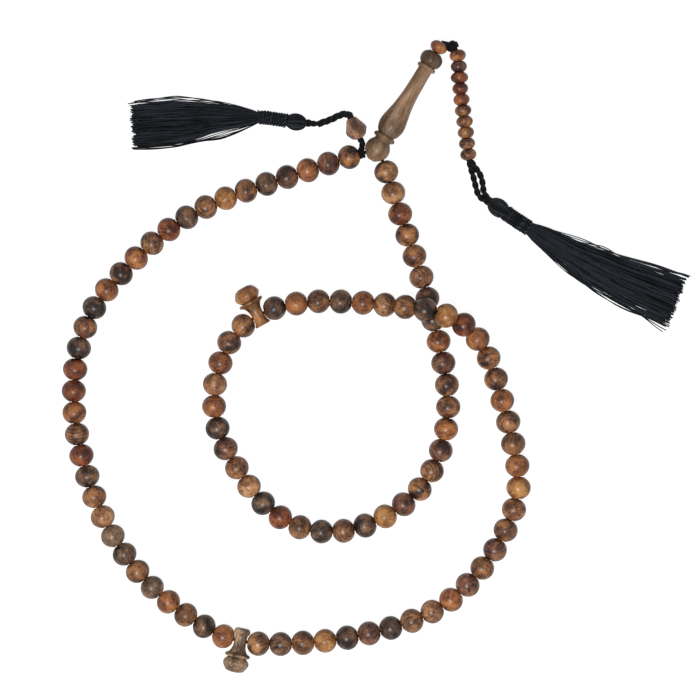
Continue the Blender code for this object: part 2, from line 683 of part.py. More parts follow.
def make_marker_cord(shop):
    """One cord, twisted from the tassel to the marker bead, then a thread round the main cord and back."""
    strand = lay_strands()[2]
    crossing = strand.route.length - BALL_RADIUS - 3 * CLEARANCE - THREAD_RADIUS
    hook, heading = strand.route.at(crossing), strand.route.heading(crossing)
    wrap = CORD_RADIUS + CLEARANCE + THREAD_RADIUS
    bead, tassel = marker_middle(), marker_tassel().head
    under = bead - MARKER_AXIS * (MARKER_LENGTH / 2 + MARKER_SLIDE)
    away = (under - hook).normalized()
    away = (away - away.dot(heading) * heading).normalized()
    turn = [hook + wrap * (math.cos(a) * UP - math.sin(a) * away) for a in round_cord()]
    apart = MARKER_AXIS.cross(UP) * (THREAD_RADIUS + CLEARANCE / 2)
    inside = bead - MARKER_AXIS * MARKER_LENGTH / 4
    thread = [inside + apart, under + apart, *turn, under - apart, inside - apart]
    twist = MARKER_CORD_DIAMETER / 2
    low = twist + CLEARANCE
    heights = [bead.z, (bead.z + low) / 2, low, low]
    lie = [bead + Vector((x * PLAN_UNIT, y * PLAN_UNIT, 0.0)) for x, y in MARKER_TWIST]
    for point, height in zip(lie, heights):
        point.z = height
    seat = tassel + (lie[-1] - tassel).normalized() * (MARKER_TASSEL_HEAD / 2 + CLEARANCE)
    top = bead + MARKER_AXIS * (MARKER_LENGTH / 2)
    rope = Route([seat, *reversed(lie), top, bead])
    sections = sections_on(rope, even_spans(0.0, rope.length, MARKER_CORD_DIAMETER, twist))
    sections += [(point, THREAD_RADIUS) for point in thread]
    placed = [(point - hook, radius) for point, radius in sections]
    curve = cord_curve("marker_cord", placed, twist="MINIMUM")
    shop.keep("marker_cord", curve, black_thread(), Matrix.Translation(hook))


def round_cord():
    """Angles from the near side of the cord over its top and round its far side to its underside."""
    first, last = math.radians(-50.0), math.pi
    return [first + (last - first) * i / LOOP_STEPS for i in range(LOOP_STEPS + 1)]


@dataclass
class Tassel:
    """A tassel's place and sizes."""

    name: str
    head: Vector
    axis: list
    skirt: list
    head_size: float
    head_length: float
    binding: float
    thread: float
    turns: int
    pitch: float

    def route(self):
        """The line from the head's middle through the binding to the skirt's hem."""
        return Route([self.head + Vector((x * PLAN_UNIT, y * PLAN_UNIT, 0.0)) for x, y in self.axis])

    def core(self):
        """The yarn's radius inside the binding."""
        return self.binding / 2 - self.thread - CLEARANCE

    def bulb(self, angle):
        """Distance along the axis and radius of the long head at an angle from its far pole."""
        ball, half = self.head_size / 2, self.head_length / 2
        return half - ball + half * math.cos(angle), ball * math.sin(angle)

    def neck(self):
        """The angle at which the head meets the yarn inside the binding."""
        return math.asin(min(2 * self.core() / self.head_size, 1.0))

    def bound(self):
        """The distances from the head's middle at which the binding starts and ends."""
        start = self.bulb(self.neck())[0] + self.thread
        return start, start + self.turns * self.pitch


def yarn_rings(tassel):
    """(distance, half width, half height, depth of the flutes) of each ring of a tassel's yarn."""
    core = tassel.core()
    start, end = tassel.bound()
    bulb = [tassel.bulb(angle) for angle in head_angles(tassel.neck())]
    rings = [(far, radius, radius, 0.0) for far, radius in bulb]
    rings += [(start + share * (end - start), core, core, 0.0) for share in (0.33, 0.67, 1.0)]
    rings += [(*(size * PLAN_UNIT for size in ring), FLUTE_DEPTH) for ring in tassel.skirt]
    return rings


def make_yarn(shop, tassel):
    """The head, neck and skirt of a tassel in one piece."""
    route = tassel.route()
    count = 2 * SKIRT_FLUTES
    bm = bmesh.new()
    loops = []
    for far, wide, tall, flute in yarn_rings(tassel):
        middle, side = route.at(far), route.heading(far).cross(UP)
        if flute:
            middle.z = tall
        loop = []
        for i in range(count):
            angle = 2 * math.pi * i / count
            swell = 1.0 - flute * (i % 2)
            offset = swell * (wide * math.cos(angle) * side + tall * math.sin(angle) * UP)
            loop.append(bm.verts.new(middle + offset - tassel.head))
        loops.append(loop)
    for inner, outer in zip(loops, loops[1:]):
        for i in range(count):
            j = (i + 1) % count
            bm.faces.new((inner[i], inner[j], outer[j], outer[i]))
    bm.faces.new(loops[0][::-1])
    bm.faces.new(loops[-1])
    bmesh.ops.recalc_face_normals(bm, faces=bm.faces)
    mesh = bpy.data.meshes.new(f"{tassel.name}_yarn")
    bm.to_mesh(mesh)
    bm.free()
    shop.keep(f"{tassel.name}_yarn", mesh, black_thread(), Matrix.Translation(tassel.head))


def make_binding(shop, tassel):
    """The thread wound round a tassel's neck."""
    route = tassel.route()
    start, _ = tassel.bound()
    wind = tassel.binding / 2 - tassel.thread / 2
    path = []
    for step in range(tassel.turns * WINDING_POINTS + 1):
        angle = 2 * math.pi * step / WINDING_POINTS
        far = start + tassel.pitch * step / WINDING_POINTS
        side = route.heading(far).cross(UP)
        path.append(route.at(far) + wind * (math.cos(angle) * side + math.sin(angle) * UP) - tassel.head)
    name = f"{tassel.name}_binding"
    print(f"{name}: least gap between its turns {1000 * winding_gap(path, tassel.thread):.2f} mm")
    sections = [(point, tassel.thread / 2) for point in path]
    curve = cord_curve(name, sections, THREAD_RESOLUTION, "MINIMUM")
    shop.keep(name, curve, black_thread(), Matrix.Translation(tassel.head))


def counter_tassel():
    """The larger tassel, on the counters' eye."""
    head = knot_middle() + COUNTER_TASSEL_OFFSET
    head.z = COUNTER_TASSEL_HEAD / 2
    return Tassel(
        name="counter_tassel",
        head=head,
        axis=COUNTER_TASSEL_AXIS,
        skirt=COUNTER_SKIRT,
        head_size=COUNTER_TASSEL_HEAD,
        head_length=COUNTER_TASSEL_HEAD_LENGTH,
        binding=COUNTER_TASSEL_BINDING,
        thread=COUNTER_TASSEL_THREAD,
        turns=COUNTER_TASSEL_TURNS,
        pitch=COUNTER_TASSEL_PITCH,
    )


def marker_tassel():
    """The smaller tassel, on the marker's cord."""
    head = marker_middle() + MARKER_TASSEL_OFFSET
    head.z = MARKER_TASSEL_HEAD / 2
    return Tassel(
        name="marker_tassel",
        head=head,
        axis=MARKER_TASSEL_AXIS,
        skirt=MARKER_SKIRT,
        head_size=MARKER_TASSEL_HEAD,
        head_length=MARKER_TASSEL_HEAD_LENGTH,
        binding=MARKER_TASSEL_BINDING,
        thread=MARKER_TASSEL_THREAD,
        turns=MARKER_TASSEL_TURNS,
        pitch=MARKER_TASSEL_PITCH,
    )


def head_angles(neck):
    """Angles from the tassel's axis, round its head from the far pole to the neck."""
    first = 0.92 * math.pi
    return [first + (neck - first) * i / ARC_STEPS for i in range(ARC_STEPS + 1)]


def winding_gap(path, thread):
    """The least gap between a winding's turns, measured on its points."""
    apart = WINDING_POINTS // 2
    pairs = ((a, b) for i, a in enumerate(path) for b in path[i + apart :])
    return min((a - b).length for a, b in pairs) - thread


def main():
    for old in list(bpy.data.objects):
        bpy.data.objects.remove(old)
    shop = Workshop()
    strands = lay_strands()
    length = min(strand.pitch for strand in strands) - BEAD_PLAY
    bore = CORD_DIAMETER + 2 * BORE_PLAY
    profile = bored_bead_profile(
        "bead", BEAD_DIAMETER, BEAD_END_DIAMETER, length, BEAD_BELT, bore, BEAD_SIDES
    )
    for strand in strands:
        make_strand(shop, strand, length)
        make_free_beads(shop, strand, length, profile)
    bpy.data.meshes.remove(profile)
    make_alif(shop)
    make_alif_cord(shop)
    make_spacer(shop)
    for number, strand in enumerate(strands[:2], 1):
        route = strand.route
        make_separator(shop, number, route.at(route.length), route.heading(route.length))
    make_counters(shop)
    make_counter_cord(shop)
    make_marker_bead(shop)
    make_marker_cord(shop)
    for tassel in (counter_tassel(), marker_tassel()):
        make_yarn(shop, tassel)
        make_binding(shop, tassel)


main()
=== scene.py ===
"""Looks for a wooden misbaha: its beads, alif, dividers, counters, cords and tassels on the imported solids."""

import json
import math
import random
from bisect import bisect_right

import bmesh
import bpy
from bpy.props import FloatProperty, FloatVectorProperty, IntProperty, PointerProperty
from mathutils import Matrix, Vector
from mathutils.geometry import interpolate_bezier


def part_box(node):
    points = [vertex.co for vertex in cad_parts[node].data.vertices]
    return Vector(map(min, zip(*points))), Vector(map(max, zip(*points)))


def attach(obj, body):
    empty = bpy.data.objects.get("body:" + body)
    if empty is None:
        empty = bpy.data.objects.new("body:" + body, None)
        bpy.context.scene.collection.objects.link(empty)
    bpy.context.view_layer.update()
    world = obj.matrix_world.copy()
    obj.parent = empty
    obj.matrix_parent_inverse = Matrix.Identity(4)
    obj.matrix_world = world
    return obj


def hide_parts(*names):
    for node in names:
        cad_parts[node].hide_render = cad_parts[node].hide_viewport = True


bl_info = {
    "name": "Misbaha Prayer Beads",
    "version": (1, 0, 0),
    "blender": (4, 5, 0),
    "location": "3D View > Sidebar > Misbaha",
    "description": "Dresses the solids of a wooden prayer string with turned wood, cords and tassels",
    "category": "Object",
}

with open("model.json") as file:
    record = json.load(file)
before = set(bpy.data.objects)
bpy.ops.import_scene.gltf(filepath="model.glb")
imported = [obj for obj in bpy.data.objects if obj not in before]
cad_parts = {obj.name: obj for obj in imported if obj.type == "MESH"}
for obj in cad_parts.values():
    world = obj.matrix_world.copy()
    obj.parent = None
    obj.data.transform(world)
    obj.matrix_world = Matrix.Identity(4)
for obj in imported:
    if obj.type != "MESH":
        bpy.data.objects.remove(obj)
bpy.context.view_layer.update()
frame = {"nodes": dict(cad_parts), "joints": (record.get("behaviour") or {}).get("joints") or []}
JOINTS = {joint["name"]: joint for joint in frame["joints"]}

MM = 0.001
UP = Vector((0.0, 0.0, 1.0))
BEADS_PER_STRAND = 33
SMOOTH_STEPS = 10

# How far along the cord the beads start from the alif's ball, on its right and past the marker's loop on
# its left, and from a divider's middle
AT_ALIF = 4.6 * MM
AT_LOOP = 6.4 * MM
AT_WAIST = 2.4 * MM
# How far short of a divider's middle a drawn cord ends
IN_WAIST = 0.2 * MM

# Cord routes in plan, in millimetres, as in the solids: x, y and the rise as a share of the crossing's
CROSSING_LIFT = 8.08 * MM
STRAND_1 = [
    (2.8, 64.6, 0), (5.8, 55.4, 0), (10.6, 41.0, 0), (15.4, 26.9, 0), (19.3, 12.5, 0),
    (22.9, -2.4, 0), (24.7, -17.4, 0), (22.2, -32.4, 0), (15.2, -45.6, 0), (3.6, -54.9, 0),
    (-10.3, -60.0, 0), (-25.3, -59.2, 0), (-38.0, -51.3, 0), (-47.1, -39.2, 0),
    (-54.0, -25.8, 0), (-55.2, -10.6, 0), (-50.6, 3.6, 0), (-45.6, 9.9, 0),
]
STRAND_2 = [
    (-34.6, 16.1, 0), (-20.8, 18.3, 0), (-5.8, 17.9, 0), (1.9, 17.2, 0.09), (9.2, 16.4, 0.48),
    (16.6, 15.4, 0.96), (24.1, 13.3, 0.92), (30.6, 9.9, 0.42), (35.3, 4.6, 0.07),
    (38.9, -2.0, 0), (43.2, -16.0, 0), (46.9, -30.7, 0), (48.7, -46.1, 0), (43.6, -61.1, 0),
    (35.5, -73.7, 0), (24.7, -84.3, 0), (11.4, -91.1, 0), (-3.1, -95.2, 0),
    (-17.4, -97.6, 0), (-32.8, -98.7, 0), (-40.4, -98.6, 0),
]
STRAND_3 = [
    (-52.0, -96.2, 0), (-65.0, -88.7, 0), (-76.6, -79.2, 0), (-85.8, -68.1, 0),
    (-93.3, -55.3, 0), (-98.6, -41.3, 0), (-102.2, -26.6, 0), (-103.2, -12.3, 0),
    (-101.5, 2.4, 0), (-95.9, 16.8, 0), (-86.3, 28.5, 0), (-75.6, 38.9, 0), (-64.0, 47.4, 0),
    (-50.3, 53.9, 0), (-36.3, 58.7, 0), (-22.5, 63.3, 0), (-8.6, 67.7, 0),
]
# The counters' cord and the two sides of its eye, in plan from the knot
COUNTER_DROP = [(1.45, -3.5), (2.3, -15.3), (3.8, -26.3), (5.0, -37.3), (5.5, -39.4)]
EYE_LEFT = [(5.9, -41.6), (6.8, -44.8), (7.5, -47.6), (8.4, -50.6), (10.2, -52.6)]
EYE_RIGHT = [(7.7, -41.9), (9.1, -44.0), (9.9, -46.5), (10.2, -48.8), (11.0, -51.2)]
# The marker's rope and the head of its tassel, in plan from the marker bead
MARKER_TWIST = [(-1.9, 4.5), (-4.4, 4.9), (-8.7, 3.1), (-12.8, 1.7)]
MARKER_TASSEL_OFFSET = (-19.9, 2.2)
# Each tassel's axis in plan from its head, and its skirt: distance from the head, half width, half height
COUNTER_TASSEL_AXIS = [(0.0, 0.0), (5.4, -3.7), (11.3, -7.5), (26.3, -16.7), (41.5, -24.2), (61.5, -32.3)]
COUNTER_SKIRT = [(17.0, 3.7, 2.8), (26.0, 5.2, 2.7), (42.0, 7.7, 2.4), (56.0, 9.1, 2.1), (69.4, 10.2, 1.8)]
MARKER_TASSEL_AXIS = [(0.0, 0.0), (-6.5, 0.9), (-13.4, 1.6), (-27.0, 0.7), (-41.0, 0.1), (-56.0, -1.0)]
MARKER_SKIRT = [(16.0, 3.3, 2.4), (20.0, 4.8, 2.4), (27.0, 6.7, 2.3), (41.0, 8.7, 2.0), (56.2, 8.5, 1.6)]

# The kind of wood of each bead along the strands, and of the counters
STRAND_WOODS = [
    "ptrhbsmdompbomshmgdskprktbmdotopb",
    "dobdopbdgrohhosbogbbmbmoppkmdgbdp",
    "odboebketbdrsorrkbkohoprdsgbdmomh",
]
COUNTER_WOODS = "omrrrpbbsb"


def linear(text):
    """An sRGB hex colour as linear RGB."""
    channels = [int(text[i : i + 2], 16) / 255 for i in (0, 2, 4)]
    return tuple(c / 12.92 if c <= 0.04045 else ((c + 0.055) / 1.055) ** 2.4 for c in channels)


class Route:
    """A smooth curve through a cord's own points, read by the distance along it."""

    def __init__(self, knots, before=None, after=None, steps=SMOOTH_STEPS):
        before = before or 2 * knots[0] - knots[1]
        after = after or 2 * knots[-1] - knots[-2]
        ring = [before, *knots, after]
        self.points = [knots[0]]
        for a, b, c, d in zip(ring, ring[1:], ring[2:], ring[3:]):
            bow = interpolate_bezier(b, b + (c - a) / 6, c - (d - b) / 6, c, steps)
            self.points += bow[1:]
        self.reach = [0.0]
        for a, b in zip(self.points, self.points[1:]):
            self.reach.append(self.reach[-1] + (b - a).length)
        self.length = self.reach[-1]

    def at(self, distance):
        """The point at this distance, on a straight line past either end."""
        i = min(max(bisect_right(self.reach, distance), 1), len(self.points) - 1)
        start, end = self.points[i - 1], self.points[i]
        share = (distance - self.reach[i - 1]) / (self.reach[i] - self.reach[i - 1])
        return start + share * (end - start)

    def heading(self, distance, step=0.3 * MM):
        """The direction of travel at this distance."""
        return (self.at(distance + step) - self.at(distance - step)).normalized()

    def seat(self, distance, length):
        """The middle and axis of a straight bead of this length, midway between the bend and its chord."""
        start, end = self.at(distance - length / 2), self.at(distance + length / 2)
        return ((start + end) / 2 + self.at(distance)) / 2, (end - start).normalized()

    def samples(self, start, end, spacing):
        """Points at an even spacing from one distance to another."""
        count = max(math.ceil((end - start) / spacing), 1)
        return [self.at(start + (end - start) * i / count) for i in range(count + 1)]


def joint_place(name):
    """The point and axis of a joint of the solids."""
    joint = JOINTS[name]
    return Vector(joint["pos_m"]), Vector(joint["axis"])


def in_plan(points, origin):
    """Points given in plan, in millimetres from an origin, at its own height."""
    return [origin + Vector((x * MM, y * MM, 0.0)) for x, y in points]


def aim(origin, axis):
    """A placement with local Z along axis and local X as near upright as it can be."""
    axis = axis.normalized()
    upright = (UP - UP.dot(axis) * axis).normalized()
    turn = Matrix((upright, axis.cross(upright), axis)).transposed()
    return Matrix.Translation(origin) @ turn.to_4x4()


class Strand:
    """One third of the loop: its route and where its beads sit."""

    def __init__(self, number, route, first_bead, last_bead):
        self.number = number
        self.route = route
        self.start = first_bead
        self.pitch = (route.length - first_bead - last_bead) / BEADS_PER_STRAND

    def bead(self, number):
        """The distance along the cord of a bead's middle."""
        return self.start + (number - 0.5) * self.pitch


def lay_strands(radius):
    """The three strands, from the alif's right side round to its left."""
    ball = joint_place("lift_alif")[0]
    first = joint_place("flop_separator_1")[0]
    second = joint_place("flop_separator_2")[0]
    one, two, three = (
        [Vector((x * MM, y * MM, radius + lift * CROSSING_LIFT)) for x, y, lift in points]
        for points in (STRAND_1, STRAND_2, STRAND_3)
    )
    right = Route([ball, *one, first], after=two[0])
    middle = Route([first, *two, second], before=one[-1], after=three[0])
    left = Route([second, *three, ball], before=two[-1])
    return [
        Strand(1, right, AT_ALIF, AT_WAIST),
        Strand(2, middle, AT_WAIST, AT_WAIST),
        Strand(3, left, AT_WAIST, AT_LOOP),
    ]


def feed(tree, node, inputs):
    """Gives a node's inputs their values, or the sockets linked to them."""
    for name, value in inputs.items():
        if isinstance(value, bpy.types.NodeSocket):
            tree.links.new(value, node.inputs[name])
        else:
            node.inputs[name].default_value = value


def add_node(tree, kind, settings=None, inputs=None):
    """A shader node with its settings, its values and the sockets linked to it."""
    node = tree.nodes.new(kind)
    for name, value in (settings or {}).items():
        setattr(node, name, value)
    feed(tree, node, inputs or {})
    return node


def backdrop_rays(tree):
    """A value of 1 for the rays that see the white backdrop: the camera's, and those of gloss and glass."""
    path = add_node(tree, "ShaderNodeLightPath").outputs
    seen = path["Is Camera Ray"]
    for kind in ("Is Glossy Ray", "Is Transmission Ray"):
        seen = add_node(tree, "ShaderNodeMath", {"operation": "MAXIMUM"}, {0: seen, 1: path[kind]}).outputs[0]
    return seen


def new_material(name):
    """An empty Principled material, its tree and its shader."""
    made = bpy.data.materials.new(name)
    made.use_nodes = True
    return made, made.node_tree, made.node_tree.nodes["Principled BSDF"]


# Kinds of wood: name, slot, dark, usual and pale colour, then how strong its stripes and its dark heart are
WOODS = {
    "g": ("golden_wood", "golden_wood", "512E1A", "A26B3F", "CE985D", 0.10, 0.0),
    "o": ("orange_wood", "golden_wood", "3C2017", "965D3B", "C2824E", 0.10, 0.18),
    "t": ("tan_wood", "tan_wood", "483020", "9F6C4B", "CEA06F", 0.10, 0.12),
    "r": ("red_wood", "red_wood", "2A1410", "7A432A", "A8643C", 0.12, 0.34),
    "b": ("brown_wood", "brown_wood", "2E1D15", "86593D", "BC8453", 0.18, 0.30),
    "m": ("plum_wood", "brown_wood", "241514", "6E4839", "A27050", 0.20, 0.42),
    "d": ("dark_wood", "dark_wood", "1A1312", "604637", "926B4B", 0.18, 0.60),
    "k": ("black_wood", "dark_wood", "120F10", "533E32", "8A6A50", 0.10, 0.75),
    "e": ("grey_wood", "dark_wood", "33271F", "6C5443", "9A7A60", 0.15, 0.0),
    "s": ("striped_wood", "brown_wood", "271914", "7E553C", "B98356", 0.40, 0.10),
    "p": ("speckled_wood", "tan_wood", "261914", "865C41", "C08E5C", 0.15, 0.45),
    "h": ("two_tone_wood", "golden_wood", "281A16", "8E5F40", "C0844F", 0.12, 0.80),
}
# How far apart a wave texture's bands lie at a scale of 1, and a wood's growth rings in millimetres
BAND_PERIOD = 0.314
RING_SPACING = 1.1
# Where the usual colour lies between the dark one and the pale one
USUAL_STOP = 0.55
# Width of a thread's fibres, drawn coarser than real ones so that they show
THREAD_FIBRE = 0.15 * MM


def turned_wood(name, dark, usual, pale, stripe, heart, fibre=3.0, rough=0.45, polish=0.34):
    """Oiled hardwood, turned and polished: mottled browns, growth rings, short dark fibres and open pores."""
    made, tree, shader = new_material(name)
    grain = add_node(tree, "ShaderNodeAttribute", {"attribute_name": "grain"}).outputs["Vector"]
    tone = add_node(tree, "ShaderNodeAttribute", {"attribute_name": "tone"}).outputs["Fac"]
    # Growth rings, cut across the bead
    bands = {"wave_type": "BANDS", "bands_direction": "X", "wave_profile": "SIN"}
    values = {"Scale": BAND_PERIOD / RING_SPACING, "Distortion": 4.0, "Detail": 3.0, "Detail Scale": 0.6}
    rings = add_node(tree, "ShaderNodeTexWave", bands, {"Vector": grain, **values})
    patterns = {"rings": (rings.outputs["Fac"], 0.45, 0.85, -0.75 * stripe)}
    # Width and length in millimetres, detail, the soft step's start and end, and what it adds to the tone;
    # fibres and pores are drawn about twice as coarse as real ones, so that they show
    noises = {
        "mottle": (3.6, 1.6 * fibre, 3.0, 0.30, 0.70, 0.84),
        "fibres": (0.36, fibre, 2.0, 0.28, 0.72, 0.42),
        "pores": (0.26, 0.4 * fibre, 1.0, 0.57, 0.70, -0.34),
        "heart": (4.6, 6.0, 2.0, 0.43, 0.69, -0.90 * heart),
    }
    for kind, (across, along, detail, low, high, share) in noises.items():
        scale = (1 / across, 1 / across, 1 / along)
        place = add_node(tree, "ShaderNodeMapping", {}, {"Vector": grain, "Scale": scale}).outputs["Vector"]
        values = {"Vector": place, "Scale": 1.0, "Detail": detail, "Roughness": 0.6}
        patterns[kind] = (add_node(tree, "ShaderNodeTexNoise", {}, values).outputs["Fac"], low, high, share)
    level, soft = 0.0, {}
    for kind, (pattern, low, high, share) in patterns.items():
        step = {"Value": pattern, "From Min": low, "From Max": high}
        ramp = add_node(tree, "ShaderNodeMapRange", {"interpolation_type": "SMOOTHSTEP"}, step)
        soft[kind] = ramp.outputs["Result"]
        values = {0: soft[kind], 1: share, 2: level}
        level = add_node(tree, "ShaderNodeMath", {"operation": "MULTIPLY_ADD"}, values).outputs[0]
    shades = add_node(tree, "ShaderNodeValToRGB", {}, {"Fac": level})
    stops = shades.color_ramp.elements
    stops[0].color = (*linear(dark), 1.0)
    stops[1].color = (*linear(pale), 1.0)
    stops.new(USUAL_STOP).color = (*linear(usual), 1.0)
    spread = {"Value": tone, "From Min": -1.0, "To Min": 0.88, "To Max": 1.12}
    value = add_node(tree, "ShaderNodeMapRange", {"clamp": False}, spread).outputs["Result"]
    colours = {"Color": shades.outputs["Color"], "Value": value}
    sheen = {"Value": level, "To Min": rough + 0.08, "To Max": rough - 0.06}
    bumps = {"Strength": 0.12, "Distance": 0.04 * MM, "Height": soft["fibres"]}
    finish = {
        "Base Color": add_node(tree, "ShaderNodeHueSaturation", {}, colours).outputs["Color"],
        "Roughness": add_node(tree, "ShaderNodeMapRange", {}, sheen).outputs["Result"],
        "Normal": add_node(tree, "ShaderNodeBump", {}, bumps).outputs["Normal"],
        "IOR": 1.45,
        "Specular IOR Level": 0.1,
        "Coat Weight": polish,
        "Coat Roughness": 0.25,
    }
    feed(tree, shader, finish)
    return made


def black_thread():
    """Twisted rayon thread, dyed black: deep, faintly blue, with a few threads painted paler as the sheen of
    those that catch the light.
    """
    found = bpy.data.materials.get("black_rayon_thread")
    if found:
        return found
    made, tree, shader = new_material("black_rayon_thread")
    tone = add_node(tree, "ShaderNodeAttribute", {"attribute_name": "tone"}).outputs["Fac"]
    place = add_node(tree, "ShaderNodeTexCoord").outputs["Object"]
    values = {"Vector": place, "Scale": 1 / THREAD_FIBRE, "Detail": 1.0}
    fibre = add_node(tree, "ShaderNodeTexNoise", {}, values).outputs["Fac"]
    bumps = {"Strength": 0.3, "Distance": 0.1 * MM, "Height": fibre}
    # The Mix node's two colours are its inputs 6 and 7, and its colour is its output 2
    # Each thread's tone mixes in a paler grey: painted sheen, for threads that catch the light
    shades = {"Factor": tone, 6: (*linear("060709"), 1.0), 7: (*linear("363B43"), 1.0)}
    finish = {
        "Base Color": add_node(tree, "ShaderNodeMix", {"data_type": "RGBA"}, shades).outputs[2],
        "Normal": add_node(tree, "ShaderNodeBump", {}, bumps).outputs["Normal"],
        "Roughness": 0.65,
        "Specular IOR Level": 0.12,
    }
    feed(tree, shader, finish)
    return made


def wood(kind):
    """The material of a kind of wood, made once, and its slot."""
    name, slot, *looks = WOODS[kind]
    name = f"oiled_{name}"
    return bpy.data.materials.get(name) or turned_wood(name, *looks), slot


def spun(outline, steps, closed):
    """A lathe shape: an outline of (radius, height) pairs turned about local Z."""
    bm = bmesh.new()
    verts = [bm.verts.new((radius, 0.0, height)) for radius, height in outline]
    count = len(verts)
    for i in range(count if closed else count - 1):
        bm.edges.new((verts[i], verts[(i + 1) % count]))
    bmesh.ops.spin(
        bm,
        geom=bm.verts[:] + bm.edges[:],
        cent=(0.0, 0.0, 0.0),
        axis=(0.0, 0.0, 1.0),
        angle=2 * math.pi,
        steps=steps,
        use_merge=True,
        use_normal_flip=False,
        use_duplicate=False,
    )
    bmesh.ops.remove_doubles(bm, verts=bm.verts[:], dist=0.002 * MM)
    bmesh.ops.recalc_face_normals(bm, faces=bm.faces[:])
    return bm


def grained(bm, turn, shift, tones):
    """Stores each point's place in the wood, in millimetres, and its tone, from (height, tone) pairs."""
    grain = bm.verts.layers.float_vector.new("grain")
    level = bm.verts.layers.float.new("tone")
    for vert in bm.verts:
        vert[grain] = turn @ (vert.co / MM) + shift
        height = min(max(vert.co.z / MM, tones[0][0]), tones[-1][0])
        for (low, start), (high, end) in zip(tones, tones[1:]):
            if low <= height <= high:
                vert[level] = start + (end - start) * (height - low) / (high - low)


def even(tone):
    """The tones of a piece that is equally pale all over."""
    return [(-1.0, tone), (1.0, tone)]


def linked(name, data):
    """A new object of the scene."""
    made = bpy.data.objects.new(name, data)
    bpy.context.scene.collection.objects.link(made)
    return made


def meshed(bm, name):
    """A new mesh from a bmesh, which ends with that."""
    mesh = bpy.data.meshes.new(name)
    bm.to_mesh(mesh)
    bm.free()
    return mesh


def round_curve(name, radius, resolution):
    """A new curve that sweeps a circle, with closed ends."""
    curve = bpy.data.curves.new(name, "CURVE")
    curve.dimensions = "3D"
    curve.bevel_depth = radius
    curve.bevel_resolution = resolution
    curve.use_fill_caps = True
    return curve


def keep(bm, name, matrix, finish, slot, body, crease=45.0):
    """A finished piece in its place, riding on a body of the solids."""
    bm.transform(matrix)
    return keep_mesh(meshed(bm, name), name, finish, body, crease)


def keep_mesh(mesh, name, finish, body, crease):
    """A finished mesh as a piece, shaded smooth up to the crease angle."""
    if "tone" not in mesh.attributes:
        mesh.attributes.new("tone", "FLOAT", "POINT")
    mesh.shade_smooth()
    mesh.set_sharp_from_angle(angle=math.radians(crease))
    mesh.materials.clear()
    mesh.materials.append(finish)
    piece = linked(name, mesh)
    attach(piece, body)
    return piece


def round_outline(radius, end_radius, half, bore, rings):
    """A bored bead's closed outline: down its rounded side and up its bore."""
    whole = half / math.sqrt(1 - (end_radius / radius) ** 2)
    first = math.acos(half / whole)
    sides = []
    for i in range(rings + 1):
        angle = first + (math.pi - 2 * first) * i / rings
        sides.append((radius * math.sin(angle), whole * math.cos(angle)))
    rim = 0.25 * MM
    ease = 0.2 * rim
    return [
        (bore + rim, half - ease),
        *sides,
        (bore + rim, -half + ease),
        (bore, -half + rim),
        (bore, half - rim),
    ]


def random_turn(draw):
    """A random direction for a piece's grain."""
    axis = Vector([draw.uniform(-1, 1) for _ in range(3)])
    return Matrix.Rotation(draw.uniform(0, 2 * math.pi), 3, axis)


def random_shift(draw, reach=500):
    """A random place in the log, in millimetres."""
    return Vector([draw.uniform(-reach, reach) for _ in range(3)])


class BeadSettings(bpy.types.PropertyGroup):
    """Sizes of the loop's beads and cord."""

    diameter: FloatProperty(
        name="Bead diameter", description="Usual width of a bead's solid", default=8.0 * MM, unit="LENGTH"
    )
    end: FloatProperty(
        name="Bead end", description="Width of a bead's flat end", default=2.9 * MM, unit="LENGTH"
    )
    bore: FloatProperty(name="Bore", description="Width of a bead's bore", default=1.8 * MM, unit="LENGTH")
    gap: FloatProperty(name="Gap", description="Gap between two beads", default=0.12 * MM, unit="LENGTH")
    cord: FloatProperty(
        name="Cord diameter", description="Width of the main cord", default=1.2 * MM, unit="LENGTH"
    )
    sides: IntProperty(name="Sides", description="Facets round a bead", default=32, min=8)
    fullness: FloatProperty(name="Fullness", description="Width of a bead against its solid", default=1.04)
    uneven: FloatProperty(
        name="Unevenness",
        description="Largest share by which a bead's width strays",
        default=0.02,
        subtype="FACTOR",
    )


class TasselSettings(bpy.types.PropertyGroup):
    """Thread of the two tassels."""

    threads: IntProperty(name="Threads", description="Threads in each skirt", default=420, min=10)
    thread: FloatProperty(
        name="Thread", description="Width of a skirt's thread", default=0.36 * MM, unit="LENGTH"
    )
    row: FloatProperty(
        name="Row", description="Spacing of the binding's turns", default=0.94 * MM, unit="LENGTH"
    )


class StageSettings(bpy.types.PropertyGroup):
    """Light, floor and camera."""

    floor: FloatVectorProperty(
        name="Floor", description="Colour of the floor", default=(0.28, 0.28, 0.28), subtype="COLOR", size=3
    )
    floor_glow: FloatProperty(
        name="Floor glow", description="Light that the camera sees the floor add", default=0.95
    )
    lamp: FloatProperty(name="Lamp", description="Power of the lamp", default=8.9, unit="POWER")
    view_width: FloatProperty(
        name="View width", description="Width that the picture covers", default=238.9 * MM, unit="LENGTH"
    )
    distance: FloatProperty(
        name="Camera height", description="Height of the camera over the beads", default=1.1, unit="LENGTH"
    )


def lay_cord(name, route, start, end, spans, diameter, body, node):
    """A limp cord on a smooth curve through evenly spaced points of its route."""
    points = route.samples(start, end, (end - start) / spans)
    curve = round_curve(name, diameter / 2, resolution=3)
    curve.resolution_u = 8
    curve.materials.append(black_thread())
    spline = curve.splines.new("BEZIER")
    spline.bezier_points.add(len(points) - 1)
    ring = [2 * points[0] - points[1], *points, 2 * points[-1] - points[-2]]
    for knot, before, point, after in zip(spline.bezier_points, ring, points, ring[2:]):
        knot.handle_left_type = knot.handle_right_type = "FREE"
        knot.co = point
        knot.handle_left = point - (after - before) / 6
        knot.handle_right = point + (after - before) / 6
    piece = linked(name, curve)
    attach(piece, body)
    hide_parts(node)


# Spans between the curve points of a strand's cord and of the counters' cord
STRAND_CORD_SPANS = 32
COUNTER_CORD_SPANS = 16


